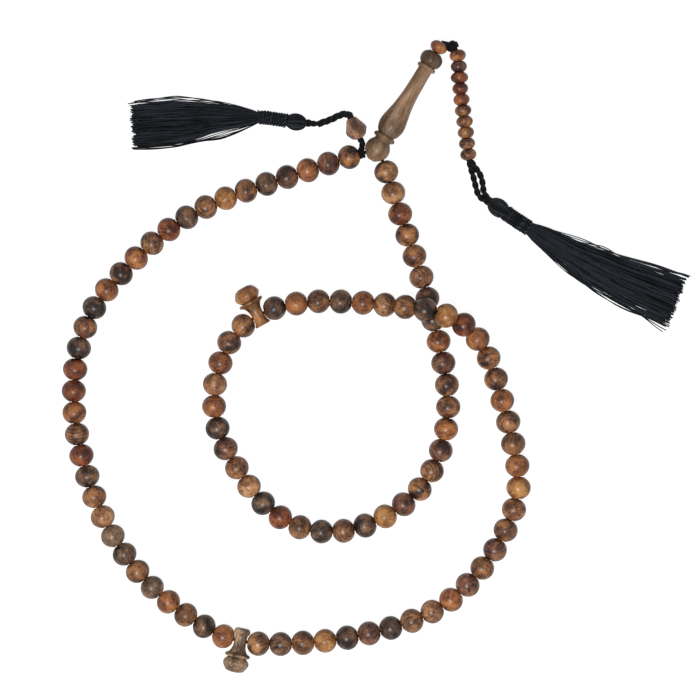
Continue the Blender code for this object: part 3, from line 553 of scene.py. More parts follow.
class MISBAHA_OT_cords(bpy.types.Operator):
    """Lay the main cord of each strand"""

    bl_idname = "misbaha.cords"
    bl_label = "Main cords"

    def execute(self, context):
        sizes = context.scene.misbaha_beads
        for strand in lay_strands(sizes.diameter / 2):
            start = AT_ALIF if strand.number == 1 else IN_WAIST
            end = strand.route.length - (AT_ALIF if strand.number == 3 else IN_WAIST)
            node = f"strand_{strand.number}"
            name = f"cord_{strand.number}"
            lay_cord(name, strand.route, start, end, STRAND_CORD_SPANS, sizes.cord, "strands", node)
        return {"FINISHED"}


# Seeds of the beads' and counters' draws, how a bead's width strays, and rings from end to end
BEAD_SEED = 33
COUNTER_SEED = 10
BEAD_STRAY = (-0.6, 1.0)
BEAD_RINGS = 12
SMALL_BEAD_RINGS = 10


class MISBAHA_OT_beads(bpy.types.Operator):
    """Turn the ninety-nine beads and string them"""

    bl_idname = "misbaha.beads"
    bl_label = "Beads"

    def execute(self, context):
        sizes = context.scene.misbaha_beads
        draw = random.Random(BEAD_SEED)
        for strand in lay_strands(sizes.diameter / 2):
            half = (strand.pitch - sizes.gap) / 2
            for number in range(1, BEADS_PER_STRAND + 1):
                kind = STRAND_WOODS[strand.number - 1][number - 1]
                radius = sizes.diameter / 2 * (sizes.fullness + draw.uniform(*BEAD_STRAY) * sizes.uneven)
                outline = round_outline(radius, sizes.end / 2, half, sizes.bore / 2, BEAD_RINGS)
                bm = spun(outline, sizes.sides, closed=True)
                grained(bm, random_turn(draw), random_shift(draw), even(draw.uniform(-1, 1)))
                node = f"bead_{strand.number}_{number:02d}"
                free = node in frame["nodes"]
                seat = strand.route.seat(strand.bead(number), 2 * half)
                middle, axis = joint_place(f"turn_{node}") if free else seat
                body = node if free else "strands"
                piece = keep(bm, f"turned_{node}", aim(middle, axis), *wood(kind), body)
                if free:
                    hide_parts(node)
        return {"FINISHED"}


# Alif outline in millimetres from the middle of its ball, in smooth stretches: radius, height along its axis
ALIF_STRETCHES = [
    [(0.0, -4.45), (1.3, -4.45)],
    [(1.4, -4.35), (2.7, -3.35)],
    [(2.75, -3.3), (3.95, -1.7), (4.3, 0.0), (3.95, 1.7), (2.95, 3.15)],
    [(2.9, 3.7)],
    [(3.5, 3.8), (3.9, 4.2), (3.95, 4.7), (3.5, 5.3)],
    [(2.95, 5.45), (3.9, 6.7), (4.55, 9.3), (4.2, 12.2), (3.4, 16.0), (2.85, 20.5), (2.6, 25.5), (2.5, 31.5)],
    [(3.2, 31.7), (3.45, 32.3), (3.2, 32.9)],
    [(2.6, 33.05), (3.55, 34.0), (3.95, 35.5), (3.6, 37.0), (2.2, 38.25)],
    [(1.4, 38.35), (1.1, 38.1)],
    [(1.1, -1.1), (0.0, -1.1)],
]
# How pale the alif's wood is along it: darker by its collar and at its knob
ALIF_TONES = [
    (0.0, -1.2), (3.5, -3.4), (9.0, -4.0), (13.0, 0.4), (17.0, 2.4), (21.0, 2.6), (32.9, 0.6), (33.1, -4.8),
    (40.0, -4.8),
]
ALIF_WOOD = ("58432F", "907259", "B2927A", 0.08, 0.0)
# Divider outlines in millimetres from the cord that crosses the waist, in smooth stretches: radius, height.
# The first has a flared foot and the second a collar there, and both have the same flare, flange and knob
DIVIDER_FEET = [
    [[(0.0, -3.8), (2.5, -3.8)], [(2.75, -3.6), (2.8, -3.2)], [(2.45, -2.75), (2.2, -2.1)]],
    [[(0.0, -4.4), (2.1, -4.4)], [(2.6, -4.0), (2.8, -3.3), (2.6, -2.5)], [(2.2, -2.2), (2.1, -1.6)]],
]
DIVIDER_HEAD = [
    [(2.08, -0.9), (2.12, 0.9), (2.3, 2.3), (3.0, 3.8), (4.1, 4.5)],
    [(4.3575, 4.7), (4.3575, 5.2), (4.095, 5.5)],
    [(2.835, 5.55), (3.675, 6.2), (4.3575, 7.15), (4.431, 7.9), (3.9375, 9.1), (3.045, 10.3)],
    [(1.785, 10.75), (0.0, 10.8)],
]
# The dividers' woods, and how pale each is drawn along it: the first is darker across its flare as painted
# shade, where its side turns away from the lamp, and paler at its foot and knob
DIVIDER_WOODS = [("5A3A24", "93623E", "B98656", 0.15, 0.0), ("46342A", "93785E", "C0A07E", 0.15, 0.4)]
DIVIDER_TONES_AND_SHADE = [
    [(-4.5, 3.4), (0.5, 2.7), (2.4, -4.6), (5.4, -3.2), (6.2, 1.2), (11.0, 1.2)],
    [(-4.5, 0.8), (0.5, 0.6), (2.6, 0.4), (5.4, 0.8), (6.2, 2.1), (11.0, 2.1)],
]
# How far a divider's axis rises to its knob, which rests on the table
DIVIDER_TILT = 0.02
# Sizes of the spacer and the counters: radius, radius of the flat end and half length
SPACER = (3.05 * MM, 1.5 * MM, 1.9 * MM)
COUNTER = (2.84 * MM, 1.6 * MM, 1.84 * MM)
# The counter that is wider than the rest, how far a counter's width strays, and how pale counters are
WIDEST_COUNTER = 3
WIDEST_COUNTER_RADIUS = 3.02 * MM
COUNTER_STRAY = 0.03
COUNTER_TONES = (-0.6, 0.8)


def smooth_outline(stretches):
    """(radius, height) pairs of an outline, each stretch a smooth curve through its points."""
    outline = []
    for stretch in stretches:
        knots = [Vector((radius * MM, 0.0, height * MM)) for radius, height in stretch]
        points = Route(knots, steps=5).points if len(knots) > 2 else knots
        outline += [(point.x, point.z) for point in points]
    return outline


class MISBAHA_OT_alif(bpy.types.Operator):
    """Turn the alif and its spacer"""

    bl_idname = "misbaha.alif"
    bl_label = "Alif"

    def execute(self, context):
        sizes = context.scene.misbaha_beads
        ball, side = joint_place("lift_alif")
        bm = spun(smooth_outline(ALIF_STRETCHES), steps=48, closed=False)
        grained(bm, Matrix.Identity(3), Vector((40.0, 12.0, 0.0)), ALIF_TONES)
        finish = turned_wood("oiled_alif_wood", *ALIF_WOOD, fibre=14.0, rough=0.5, polish=0.15)
        piece = keep(bm, "turned_alif", aim(ball, UP.cross(side)), finish, "alif_wood", "alif")
        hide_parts("alif")
        spacer, along = joint_place("turn_spacer")
        bm = spun(round_outline(*SPACER, sizes.bore / 2, SMALL_BEAD_RINGS), sizes.sides, closed=True)
        grained(bm, Matrix.Rotation(1.1, 3, "Y"), Vector((7.0, 3.0, 1.0)), even(0.0))
        finish, _ = wood("o")
        piece = keep(bm, "turned_spacer", aim(spacer, along), finish, "spacer_wood", "spacer")
        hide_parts("spacer_bead")
        return {"FINISHED"}


class MISBAHA_OT_dividers(bpy.types.Operator):
    """Turn the two divider beads"""

    bl_idname = "misbaha.dividers"
    bl_label = "Dividers"

    def execute(self, context):
        rows = zip(DIVIDER_FEET, DIVIDER_WOODS, DIVIDER_TONES_AND_SHADE)
        for number, (foot, looks, tones) in enumerate(rows, 1):
            name = f"separator_{number}"
            place, heading = joint_place(f"flop_{name}")
            bm = spun(smooth_outline(foot + DIVIDER_HEAD), steps=40, closed=False)
            # The tones paint shade across the first divider's flare, where its side turns away from the lamp
            grained(bm, Matrix.Identity(3), Vector((90.0 * number, 5.0, 0.0)), tones)
            finish = turned_wood(f"oiled_divider_{number}_wood", *looks, fibre=5.0)
            along = UP.cross(heading) + DIVIDER_TILT * UP
            piece = keep(bm, f"turned_{name}", aim(place, along), finish, f"{name}_wood", name)
            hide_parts(name)
        return {"FINISHED"}


class MISBAHA_OT_counters(bpy.types.Operator):
    """Turn the ten counters"""

    bl_idname = "misbaha.counters"
    bl_label = "Counters"

    def execute(self, context):
        sizes = context.scene.misbaha_beads
        draw = random.Random(COUNTER_SEED)
        usual, end, half = COUNTER
        for number, kind in enumerate(COUNTER_WOODS, 1):
            node = f"counter_{number:02d}"
            middle, axis = joint_place(f"turn_{node}")
            radius = WIDEST_COUNTER_RADIUS if number == WIDEST_COUNTER else usual
            radius *= 1 + draw.uniform(-COUNTER_STRAY, COUNTER_STRAY)
            outline = round_outline(radius, end, half, sizes.bore / 2, SMALL_BEAD_RINGS)
            bm = spun(outline, sizes.sides, closed=True)
            grained(bm, random_turn(draw), random_shift(draw), even(draw.uniform(*COUNTER_TONES)))
            piece = keep(bm, f"turned_{node}", aim(middle, axis), *wood(kind), node)
            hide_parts(node)
        return {"FINISHED"}


def tubes(name, lines, resolution, tones=None):
    """Swept threads as one mesh: each line is a list of (point, radius), all as long if they have tones."""
    curve = round_curve(name, MM, resolution)
    curve.twist_mode = "MINIMUM"
    for line in lines:
        spline = curve.splines.new("POLY")
        spline.points.add(len(line) - 1)
        for knot, (point, radius) in zip(spline.points, line):
            knot.co = (*point, 1.0)
            knot.radius = radius / MM
    guide = linked(name, curve)
    seen = guide.evaluated_get(bpy.context.evaluated_depsgraph_get())
    mesh = bpy.data.meshes.new_from_object(seen)
    bpy.data.objects.remove(guide)
    bpy.data.curves.remove(curve)
    if tones:
        each = len(mesh.vertices) // len(lines)
        level = mesh.attributes.new("tone", "FLOAT", "POINT")
        level.data.foreach_set("value", [tone for tone in tones for _ in range(each)])
    bm = bmesh.new()
    bm.from_mesh(mesh)
    bmesh.ops.remove_doubles(bm, verts=bm.verts[:], dist=0.001 * MM)
    bm.to_mesh(mesh)
    bm.free()
    mesh.name = name
    return mesh


def keep_threads(name, lines, body, resolution=2, tones=None):
    """Swept black threads as one piece, riding on a body of the solids."""
    mesh = tubes(name, lines, resolution, tones)
    return keep_mesh(mesh, name, black_thread(), body, crease=80.0)


def twisted(route, start, end, spread, ply, pitch, side=UP, plies=2, steps=10):
    """The plies of a twisted cord along a route, as lines of (point, radius), with these steps to a turn."""
    count = max(math.ceil((end - start) / (pitch / steps)), 2)
    lines = [[] for _ in range(plies)]
    for i in range(count + 1):
        distance = start + (end - start) * i / count
        heading = route.heading(distance)
        across = heading.cross(side).normalized()
        over = across.cross(heading)
        for number, line in enumerate(lines):
            angle = 2 * math.pi * (distance / pitch + number / plies)
            offset = spread * (math.cos(angle) * across + math.sin(angle) * over)
            line.append((route.at(distance) + offset, ply))
    return lines


# Where the counters' cord leaves the knot, and how high the eye lies
KNOT_REACH = 1.9 * MM
EYE_HEIGHT = 1.25 * MM
# The knot: its axis in plan, its middle from the joint, its turns, and a turn laid over them, in millimetres
KNOT_AXIS = Vector((0.98, -0.2, 0.0)).normalized()
KNOT_MIDDLE = Vector((-0.4, -0.4, 0.0))
KNOT_TAIL = Vector((1.3, -2.2, 0.0))
KNOT_TURNS = 5
KNOT_STEPS = 120
KNOT_OVER = [(-1.6, 0.3, 0.4), (-0.8, -0.8, 1.65), (0.4, 0.3, 1.95), (1.3, 1.1, 1.2), (1.7, 0.5, -0.2)]


class MISBAHA_OT_counter_cord(bpy.types.Operator):
    """Twist the counters' cord, its eye and the alif's knot"""

    bl_idname = "misbaha.counter_cord"
    bl_label = "Counter cord"

    def execute(self, context):
        sizes = context.scene.misbaha_beads
        knot = joint_place("swing_counters")[0]
        head = joint_place("swing_counter_tassel")[0]
        drop = Route([knot, *in_plan(COUNTER_DROP, knot)])
        body = "counter_drop"
        lay_cord(
            "counter_drop_cord",
            drop,
            KNOT_REACH,
            drop.length,
            COUNTER_CORD_SPANS,
            sizes.cord,
            body,
            "counter_cord",
        )
        lines = []
        for side in (EYE_LEFT, EYE_RIGHT):
            lie = [Vector((knot.x + x * MM, knot.y + y * MM, EYE_HEIGHT)) for x, y in side]
            bow = Route([drop.at(drop.length - 1.0 * MM), *lie, head])
            end = bow.length - 2.0 * MM
            lines += twisted(bow, 0.0, end, spread=0.45 * MM, ply=0.70 * MM, pitch=5.0 * MM)
        keep_threads("counter_eye", lines, body)
        self.tie_knot(knot, sizes)
        return {"FINISHED"}

    def tie_knot(self, knot, sizes):
        """The loop's two ends, up through the alif and its spacer, and the knot that they are tied in."""
        ball = joint_place("lift_alif")[0]
        spacer, axis = joint_place("turn_spacer")
        strands = lay_strands(sizes.diameter / 2)
        ends = [strands[2].route.at(strands[2].route.length - AT_ALIF), strands[0].route.at(AT_ALIF)]
        half = sizes.cord / 2
        lines = [[(end, half), (ball, half)] for end in ends]
        top = spacer + axis * SPACER[2]
        lines.append([(ball, half), (top, half)])
        # Turns wound over the ends, as in a barrel knot, with rounded ends
        out, flat = KNOT_AXIS, UP.cross(KNOT_AXIS)
        middle = knot + KNOT_MIDDLE * MM
        wound = []
        for i in range(KNOT_STEPS + 1):
            place = 2 * i / KNOT_STEPS - 1
            angle = math.pi * KNOT_TURNS * (place + 1)
            full = 1.6 * (1 - 0.5 * place**4) + 0.08 * math.sin(2.6 * angle)
            along = 1.4 * place + 0.25 * math.sin(angle + 0.6)
            around = full * (math.cos(angle) * flat + math.sin(angle) * UP)
            wound.append((middle + MM * (along * out + around), 0.5 * MM))
        over = [(middle + MM * (a * out + b * flat + c * UP), 0.48 * MM) for a, b, c in KNOT_OVER]
        near, far = middle - 0.8 * MM * out, middle + 1.4 * MM * out
        filling = [(top, 0.7 * MM), (near, 1.3 * MM), (far, 1.2 * MM)]
        tail = [(middle + 0.4 * MM * out, 0.9 * MM), (knot + KNOT_TAIL * MM, 0.65 * MM)]
        lines += [wound, over, filling, tail]
        piece = keep_threads("alif_knot", lines, "alif")
        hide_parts("alif_cord")


# Marker bead outline in millimetres from its middle: radius, height towards the tassel's cord
MARKER_OUTLINE = [
    (1.3, 3.75), (1.75, 3.75), (3.68, -0.1), (3.68, -1.2), (2.6, -2.95), (1.4, -3.7), (1.1, -3.7),
]
MARKER_SIDES = 8
# How far the marker bead lies turned in plan from its joint's axis
MARKER_TILT = math.radians(7.0)
MARKER_WOOD = ("4E382D", "8E6450", "BC8D6D", 0.25, 0.1)
# The height of the marker's rope on the table, and how far from the alif its loop crosses the main cord
ROPE_HEIGHT = 1.4 * MM
LOOP_CROSSING = 5.65 * MM
# The loop's half turn round the main cord: radius, steps, first angle and sweep in degrees
LOOP_RADIUS = 1.3 * MM
LOOP_STEPS = 12
LOOP_START, LOOP_SWEEP = -50, 230


class MISBAHA_OT_marker(bpy.types.Operator):
    """Cut the marker bead and loop its cord"""

    bl_idname = "misbaha.marker"
    bl_label = "Marker"

    def execute(self, context):
        down = Matrix.Rotation(MARKER_TILT, 3, "Z") @ Vector(JOINTS["slide_marker_bead"]["axis"])
        head = joint_place("swing_marker_tassel")[0]
        x, y = MARKER_TASSEL_OFFSET
        low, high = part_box("marker_bead")
        middle = Vector((head.x - x * MM, head.y - y * MM, (low.z + high.z) / 2))
        outline = [(radius * MM, height * MM) for radius, height in MARKER_OUTLINE]
        bm = spun(outline, MARKER_SIDES, closed=True)
        bmesh.ops.bevel(
            bm,
            geom=bm.edges[:],
            offset=0.1 * MM,
            offset_type="OFFSET",
            segments=1,
            profile=0.5,
            affect="EDGES",
            material=-1,
        )
        grained(bm, Matrix.Rotation(0.5, 3, "Y"), Vector((3.0, 60.0, 9.0)), even(0.0))
        finish = turned_wood("oiled_marker_wood", *MARKER_WOOD, fibre=5.0)
        place = aim(middle, -down)
        piece = keep(bm, "cut_marker_bead", place, finish, "marker_wood", "marker_bead", crease=10.0)
        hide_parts("marker_bead")
        lines = self.rope(middle, -down, head) + self.loop(context, middle, down)
        piece = keep_threads("marker_rope", lines, "strands")
        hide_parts("marker_cord")
        return {"FINISHED"}

    def rope(self, middle, axis, head):
        """The twisted cord from the bead to a small eye at the tassel's head."""
        heights = [middle.z, middle.z / 2 + ROPE_HEIGHT / 2, ROPE_HEIGHT, ROPE_HEIGHT]
        lie = in_plan(MARKER_TWIST, middle)
        for point, height in zip(lie, heights):
            point.z = height
        rope = Route([middle, middle + axis * 3.7 * MM, *lie])
        plies = {"spread": 0.60 * MM, "ply": 0.70 * MM, "pitch": 7.5 * MM, "plies": 3}
        lines = twisted(rope, 2.0 * MM, rope.length, **plies)
        way = head - lie[-1]
        aside = way.cross(UP).normalized()
        for sign in (1, -1):
            apart = sign * 0.5 * MM * aside
            bow = [lie[-1], lie[-1] + 0.45 * way + apart, head + apart]
            strand = Route([rope.at(rope.length - 0.6 * MM), *bow])
            end = strand.length - 1.5 * MM
            lines += twisted(strand, 0.0, end, spread=0.3 * MM, ply=0.52 * MM, pitch=4.0 * MM)
        return lines

    def loop(self, context, middle, down):
        """The doubled thread under the bead, looped round the main cord."""
        route = lay_strands(context.scene.misbaha_beads.diameter / 2)[2].route
        crossing = route.length - LOOP_CROSSING
        hook, heading = route.at(crossing), route.heading(crossing)
        under = middle + down * 5.7 * MM
        away = (under - hook).normalized()
        away = (away - away.dot(heading) * heading).normalized()
        apart = 0.5 * MM * heading
        inside, below = middle + down * 2.0 * MM, middle + down * 4.2 * MM
        lines = []
        for sign in (1, -1):
            turn = []
            for i in range(LOOP_STEPS + 1):
                angle = math.radians(LOOP_START + LOOP_SWEEP * i / LOOP_STEPS)
                around = math.cos(angle) * UP - math.sin(angle) * away
                turn.append(hook + LOOP_RADIUS * around + sign * apart)
            first = [point + sign * apart for point in (inside, below, under)]
            last = [point + 0.4 * sign * apart for point in (under, below, inside)]
            loop = Route(first + turn + last)
            plies = {"spread": 0.2 * MM, "ply": 0.42 * MM, "pitch": 3.2 * MM, "side": heading}
            lines += twisted(loop, 0.0, loop.length, **plies)
        return lines


# A skirt's threads: share of its half width that they fill, then ranges in millimetres of how far they
# hang past its end, how far they wave and over what length
SKIRT_FILL = 0.86
SKIRT_HANG = (-2.2, 0.8)
SKIRT_WAVE = (0.08, 0.32)
SKIRT_PERIOD = (15, 30)
SKIRT_STEPS = 16
# Loose threads at a skirt's edge: where across and over it they lie, how far they hang, how their rise strays
LOOSE_ACROSS = (0.89, 0.93)
LOOSE_OVER = (-0.3, 0.3)
LOOSE_HANG = (-1.0, 1.8)
LOOSE_STRAY = (0.8, 1.2)
LOOSE_STEPS = 24
# Where each one bows out: side, distance from the tassel's head, reach along it and rise, in millimetres
COUNTER_LOOSE = [
    (1, 33, 7, 0.9), (1, 35, 6, 0.5), (1, 49, 10, 1.5), (1, 50, 10, 1.1), (1, 52, 10, 0.7), (1, 70, 9, 1.8),
    (1, 71, 8, 1.3), (1, 68, 10, 0.8), (-1, 30, 8, 1.0), (-1, 32, 8, 0.6), (-1, 39, 4, 0.8), (-1, 60, 9, 1.2),
    (-1, 62, 9, 0.8), (-1, 66, 9, 0.5),
]
MARKER_LOOSE = [
    (1, 24, 7, 0.5), (1, 42, 16, 1.1), (1, 42, 15, 0.8), (1, 46, 12, 0.4), (-1, 25, 9, 0.5), (-1, 25, 9, 0.2),
    (-1, 26, 9, -0.3), (-1, 25, 9, -0.8), (-1, 26, 9, -1.4), (-1, 46, 12, 0.9), (-1, 48, 12, 0.6),
]
# Lengths of the skirt's settling on the table and of its threads' loosening, from the binding on
SETTLE_LENGTH = 8 * MM
LOOSEN_LENGTH = 20 * MM
# A head's lead before its joint, the steps along its threads, those over its bulb, and its core's steps
HEAD_LEAD = 0.4 * MM
HEAD_STEPS = 14
HEAD_BULB_STEPS = 10
CORE_STEPS = 12
# Steps to a twist of the binding's two plies
BINDING_TWIST_STEPS = 9


def bell(distance, peak, reach):
    """A smooth bump of height 1 at its peak."""
    return math.exp(-(((distance - peak) / reach) ** 2))


def round_about(heading, angle):
    """The direction at an angle round a level heading, from its right hand side up and over."""
    return math.cos(angle) * heading.cross(UP) + math.sin(angle) * UP


class Tassel:
    """Where a tassel lies and how wide it is along its axis.

    A hollow is a dent in the skirt's edge: its side, its distance from the head, its reach and its depth.
    """

    def __init__(self, name, axis, skirt, ball, bulb, neck, bound, slant, seed, hollow=(1, 0.0, 1.0, 0.0)):
        self.name = name
        self.head = joint_place(f"swing_{name}")[0]
        self.route = Route(in_plan(axis, self.head))
        self.rings = [(bound[1], neck + 0.5 * MM, neck + 0.3 * MM)]
        self.rings += [(far * MM, wide * MM, tall * MM) for far, wide, tall in skirt]
        self.ball = ball
        self.bulb = bulb
        self.neck = neck
        self.bound = bound
        self.slant = slant
        self.hollow = hollow
        self.draw = random.Random(seed)

    def section(self, far):
        """Half width, half height and middle of the skirt at a distance from the head."""
        spot = min(max(far, self.rings[0][0]), self.rings[-1][0])
        for (a, wide_a, tall_a), (b, wide_b, tall_b) in zip(self.rings, self.rings[1:]):
            if spot <= b:
                share = (spot - a) / (b - a)
                break
        wide = wide_a + (wide_b - wide_a) * share
        tall = tall_a + (tall_b - tall_a) * share
        middle = self.route.at(far)
        settle = min(max((far - self.bound[1]) / SETTLE_LENGTH, 0.0), 1.0)
        middle.z = self.head.z + (tall + 0.2 * MM - self.head.z) * settle
        return wide, tall, middle

    def skirt_line(self, width, bow=None):
        """One thread of the skirt, wavy, and bowed out past the rest where it is loose."""
        draw = self.draw
        start = self.bound[1] - 1.5 * MM
        angle, out = draw.uniform(0, 2 * math.pi), SKIRT_FILL * math.sqrt(draw.random())
        across, over = out * math.cos(angle), out * math.sin(angle)
        # The hem hangs in uneven locks
        hang = draw.uniform(*SKIRT_HANG) + 0.5 * math.sin(23.0 * across + 5.0 * over)
        side, peak, reach, rise = bow or (1, 0.0, 1.0, 0.0)
        if bow:
            across, over = side * draw.uniform(*LOOSE_ACROSS), draw.uniform(*LOOSE_OVER)
            hang = draw.uniform(*LOOSE_HANG)
            rise *= draw.uniform(*LOOSE_STRAY)
        length = self.rings[-1][0] - start + hang * MM
        wave, period = draw.uniform(*SKIRT_WAVE) * MM, draw.uniform(*SKIRT_PERIOD) * MM
        phase = draw.uniform(0, 2 * math.pi)
        line = []
        steps = LOOSE_STEPS if bow else SKIRT_STEPS
        hollow_side, hollow_at, hollow_reach, hollow_depth = self.hollow
        for i in range(steps + 1):
            far = start + length * i / steps
            wide, tall, middle = self.section(far)
            aside = self.route.heading(far).cross(UP)
            grown = min((far - start) / LOOSEN_LENGTH, 1.0)
            lean = 2 * math.pi * far / period + phase
            swell = rise * MM * bell(far / MM, peak, reach)
            sway = wave * grown * math.sin(lean) + side * swell
            lateral = across * (wide - width / 2)
            if across * hollow_side > 0 and not bow:
                lateral *= 1 - hollow_depth * bell(far / MM, hollow_at, hollow_reach)
            point = middle + aside * (lateral + sway)
            point.z += over * (tall - width / 2) + 0.5 * wave * grown * math.cos(lean)
            point.z = max(point.z, 0.5 * width)
            line.append((point, width / 2 * (0.55 + 0.45 * grown)))
        return line

    def head_lines(self, count=30):
        """Threads that run over the long head from its pole into the neck."""
        lines = []
        for number in range(count):
            line = []
            for i in range(HEAD_STEPS + 1):
                angle = math.pi * (0.97 - 0.80 * i / HEAD_STEPS)
                far = self.bulb * math.cos(angle) + self.bulb - self.ball - HEAD_LEAD
                radius = max(self.ball * math.sin(angle), self.neck if i > HEAD_BULB_STEPS else 0.0)
                heading = self.route.heading(max(far, 0.0))
                outward = round_about(heading, 2 * math.pi * number / count + 0.5 * i / HEAD_STEPS)
                line.append((self.head + heading * far + radius * outward, 0.32 * MM))
            lines.append(line)
        return lines

    def core(self):
        """The filled bulb and neck under the threads."""
        angles = [math.pi * (1.0 - 0.8 * i / CORE_STEPS) for i in range(CORE_STEPS + 1)]
        shift = self.bulb - self.ball - HEAD_LEAD
        outline = [(self.ball * math.sin(angle), self.bulb * math.cos(angle) + shift) for angle in angles]
        end = self.bound[1] - 0.5 * MM
        wide = self.neck + 0.3 * MM
        return outline + [(wide, self.bulb + shift), (wide, end), (0.0, end)]

    def binding_lines(self, row, steps=72):
        """The thread wound round the neck, of two plies, so that its rows look scalloped, turn by turn."""
        start, end = self.bound
        turns = round((end - start) / row)
        slack = [self.draw.uniform(0.0, 0.12) * MM for _ in range(turns + 1)]
        creep = [self.draw.uniform(-0.10, 0.10) * MM for _ in range(turns + 1)]
        lines = []
        for turn in range(turns):
            plies = [[], []]
            for step in range(steps + 1):
                part = step / steps
                angle = 2 * math.pi * part
                far = start + (end - start) * (turn + part) / turns + self.slant * math.sin(angle)
                far += creep[turn] + (creep[turn + 1] - creep[turn]) * part
                heading = self.route.heading(far)
                outward = round_about(heading, angle)
                wind = self.neck + 0.42 * MM + slack[turn] + (slack[turn + 1] - slack[turn]) * part
                lean = 2 * math.pi * step / BINDING_TWIST_STEPS
                offset = 0.16 * MM * (math.cos(lean) * outward + math.sin(lean) * heading)
                for sign, ply in zip((1, -1), plies):
                    ply.append((self.route.at(far) + wind * outward + sign * offset, 0.36 * MM))
            lines += plies
        # The thread's two cut ends
        for far, angle in ((start + 0.2 * MM, 3.3), (end - 0.2 * MM, 0.2)):
            heading = self.route.heading(far)
            outward = round_about(heading, angle)
            foot = self.route.at(far) + (self.neck + 0.5 * MM) * outward
            stub = []
            for step in range(steps + 1):
                part = step / steps
                stub.append((foot + MM * (0.5 * part * outward + 0.8 * part**2 * heading), 0.18 * MM))
            lines.append(stub)
        return lines


class MISBAHA_OT_tassels(bpy.types.Operator):
    """Tie the two tassels"""

    bl_idname = "misbaha.tassels"
    bl_label = "Tassels"

    def execute(self, context):
        settings = context.scene.misbaha_tassels
        counter = Tassel(
            "counter_tassel",
            COUNTER_TASSEL_AXIS,
            COUNTER_SKIRT,
            ball=2.85 * MM,
            bulb=3.8 * MM,
            neck=1.8 * MM,
            bound=(3.5 * MM, 12.8 * MM),
            slant=0.8 * MM,
            seed=5,
        )
        marker = Tassel(
            "marker_tassel",
            MARKER_TASSEL_AXIS,
            MARKER_SKIRT,
            ball=2.65 * MM,
            bulb=3.5 * MM,
            neck=1.5 * MM,
            bound=(3.6 * MM, 13.2 * MM),
            slant=0.3 * MM,
            seed=7,
            hollow=(-1, 25.0, 9.0, 0.32),
        )
        self.tie(counter, COUNTER_LOOSE, settings)
        self.tie(marker, MARKER_LOOSE, settings)
        return {"FINISHED"}

    def tie(self, tassel, loose, settings):
        """The skirt, head and binding of a tassel."""
        name = tassel.name
        skirt = [tassel.skirt_line(settings.thread) for _ in range(settings.threads)]
        bowed = [tassel.skirt_line(settings.thread, bow) for bow in loose]
        # Lines, the roundness of their tubes, how few of them are painted pale as sheen, and the node that they
        # stand for
        kinds = {
            "skirt": (skirt, 0, 1.6, f"{name}_yarn"),
            "loose": (bowed, 0, 2.5, f"{name}_yarn"),
            "head": (tassel.head_lines(), 1, 2.5, f"{name}_yarn"),
            "rows": (tassel.binding_lines(settings.row), 1, 2.5, f"{name}_binding"),
        }
        for kind, (lines, resolution, sheen_rarity, node) in kinds.items():
            # A tone for each thread, which paints a few of them paler as sheen
            tones = [tassel.draw.random() ** sheen_rarity for _ in lines]
            piece = keep_threads(f"{name}_{kind}", lines, name, resolution, tones)
            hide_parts(node)
        bm = spun(tassel.core(), steps=24, closed=False)
        place = aim(tassel.head, tassel.route.heading(4.0 * MM))
        keep(bm, f"{name}_core", place, black_thread(), "black_thread", name)


# The floor's half width and its drop under the solids, the light all round, the lamp and the view's middle
FLOOR_SIZE = 3.0
FLOOR_DROP = 0.24 * MM
SURROUNDINGS = 0.08
LAMP_SIZE = 0.38
LAMP_PLACE = (-0.14, -0.27, 0.95)
VIEW_MIDDLE = (-8.9 * MM, 1.7 * MM, 4.0 * MM)
WHITE = (1.0, 1.0, 1.0, 1.0)


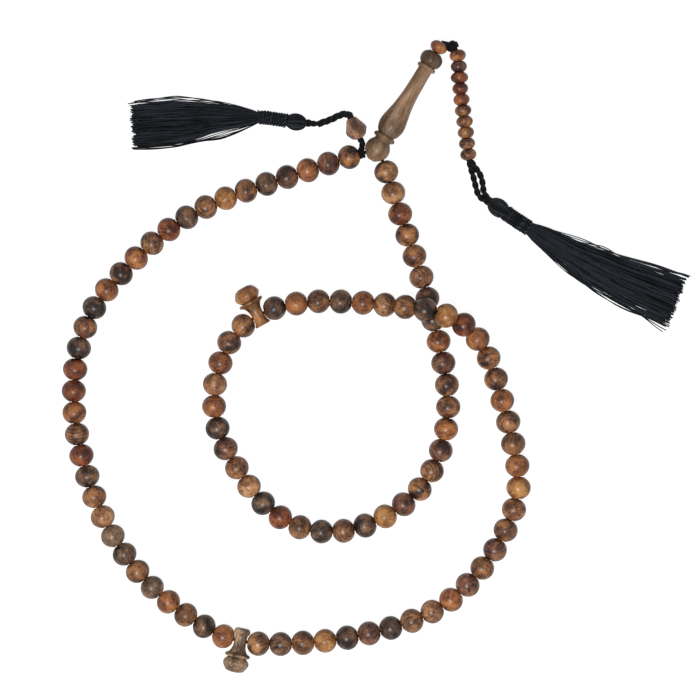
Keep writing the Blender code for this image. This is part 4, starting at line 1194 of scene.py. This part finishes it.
class MISBAHA_OT_stage(bpy.types.Operator):
    """Set the floor, the light and the camera"""

    bl_idname = "misbaha.stage"
    bl_label = "Stage"

    def execute(self, context):
        settings = context.scene.misbaha_stage
        scene = context.scene
        bm = bmesh.new()
        bmesh.ops.create_grid(bm, x_segments=1, y_segments=1, size=FLOOR_SIZE)
        bmesh.ops.translate(bm, vec=(0.0, 0.0, -FLOOR_DROP), verts=bm.verts[:])
        mesh = meshed(bm, "floor")
        # Matt white card, which the camera sees as plain white with soft shadows
        made, tree, shader = new_material("white_card_floor")
        card = {
            "Base Color": (*settings.floor, 1.0),
            "Roughness": 0.9,
            "Specular IOR Level": 0.0,
            "Emission Color": (settings.floor_glow,) * 3 + (1.0,),
            "Emission Strength": backdrop_rays(tree),
        }
        feed(tree, shader, card)
        mesh.materials.append(made)
        floor = linked("floor", mesh)

        # Dim surroundings, which the camera sees as white
        world = bpy.data.worlds.new("studio")
        world.use_nodes = True
        tree = world.node_tree
        dim = tree.nodes["Background"]
        feed(tree, dim, {"Color": WHITE, "Strength": SURROUNDINGS})
        white = add_node(tree, "ShaderNodeBackground", {}, {"Color": WHITE, "Strength": 1.0})
        lights = {0: backdrop_rays(tree), 1: dim.outputs["Background"], 2: white.outputs["Background"]}
        mixed = add_node(tree, "ShaderNodeMixShader", {}, lights)
        feed(tree, tree.nodes["World Output"], {"Surface": mixed.outputs["Shader"]})
        scene.world = world

        # A wide soft lamp beside the camera
        data = bpy.data.lights.new("softbox", "AREA")
        data.shape = "DISK"
        data.size = LAMP_SIZE
        data.energy = settings.lamp
        lamp = linked("softbox", data)
        lamp.location = LAMP_PLACE
        lamp.rotation_mode = "QUATERNION"
        lamp.rotation_quaternion = lamp.location.to_track_quat("Z", "Y")

        # A camera straight above
        data = bpy.data.cameras.new("camera")
        data.sensor_width = 36.0
        data.lens = data.sensor_width * settings.distance / settings.view_width
        data.clip_end = 10.0
        camera = linked("camera", data)
        x, y, z = VIEW_MIDDLE
        camera.location = (x, y, z + settings.distance)
        scene.camera = camera
        scene.view_settings.view_transform = "Standard"
        return {"FINISHED"}


class MISBAHA_PT_panel(bpy.types.Panel):
    """Lists the steps that dress the string"""

    bl_label = "Misbaha"
    bl_space_type = "VIEW_3D"
    bl_region_type = "UI"
    bl_category = "Misbaha"

    def draw(self, context):
        scene = context.scene
        for operator in OPERATORS:
            self.layout.operator(operator.bl_idname)
        for group in (scene.misbaha_beads, scene.misbaha_tassels, scene.misbaha_stage):
            column = self.layout.column()
            for name in group.bl_rna.properties.keys():
                if name not in ("rna_type", "name"):
                    column.prop(group, name)


OPERATORS = [
    MISBAHA_OT_stage,
    MISBAHA_OT_cords,
    MISBAHA_OT_beads,
    MISBAHA_OT_alif,
    MISBAHA_OT_dividers,
    MISBAHA_OT_counters,
    MISBAHA_OT_counter_cord,
    MISBAHA_OT_marker,
    MISBAHA_OT_tassels,
]
CLASSES = [BeadSettings, TasselSettings, StageSettings, *OPERATORS, MISBAHA_PT_panel]


def register():
    for cls in CLASSES:
        bpy.utils.register_class(cls)
    bpy.types.Scene.misbaha_beads = PointerProperty(type=BeadSettings)
    bpy.types.Scene.misbaha_tassels = PointerProperty(type=TasselSettings)
    bpy.types.Scene.misbaha_stage = PointerProperty(type=StageSettings)


def unregister():
    del bpy.types.Scene.misbaha_stage
    del bpy.types.Scene.misbaha_tassels
    del bpy.types.Scene.misbaha_beads
    for cls in reversed(CLASSES):
        bpy.utils.unregister_class(cls)


def main():
    register()
    for operator in OPERATORS:
        group, name = operator.bl_idname.split(".")
        getattr(getattr(bpy.ops, group), name)()


if __name__ == "__main__":
    main()
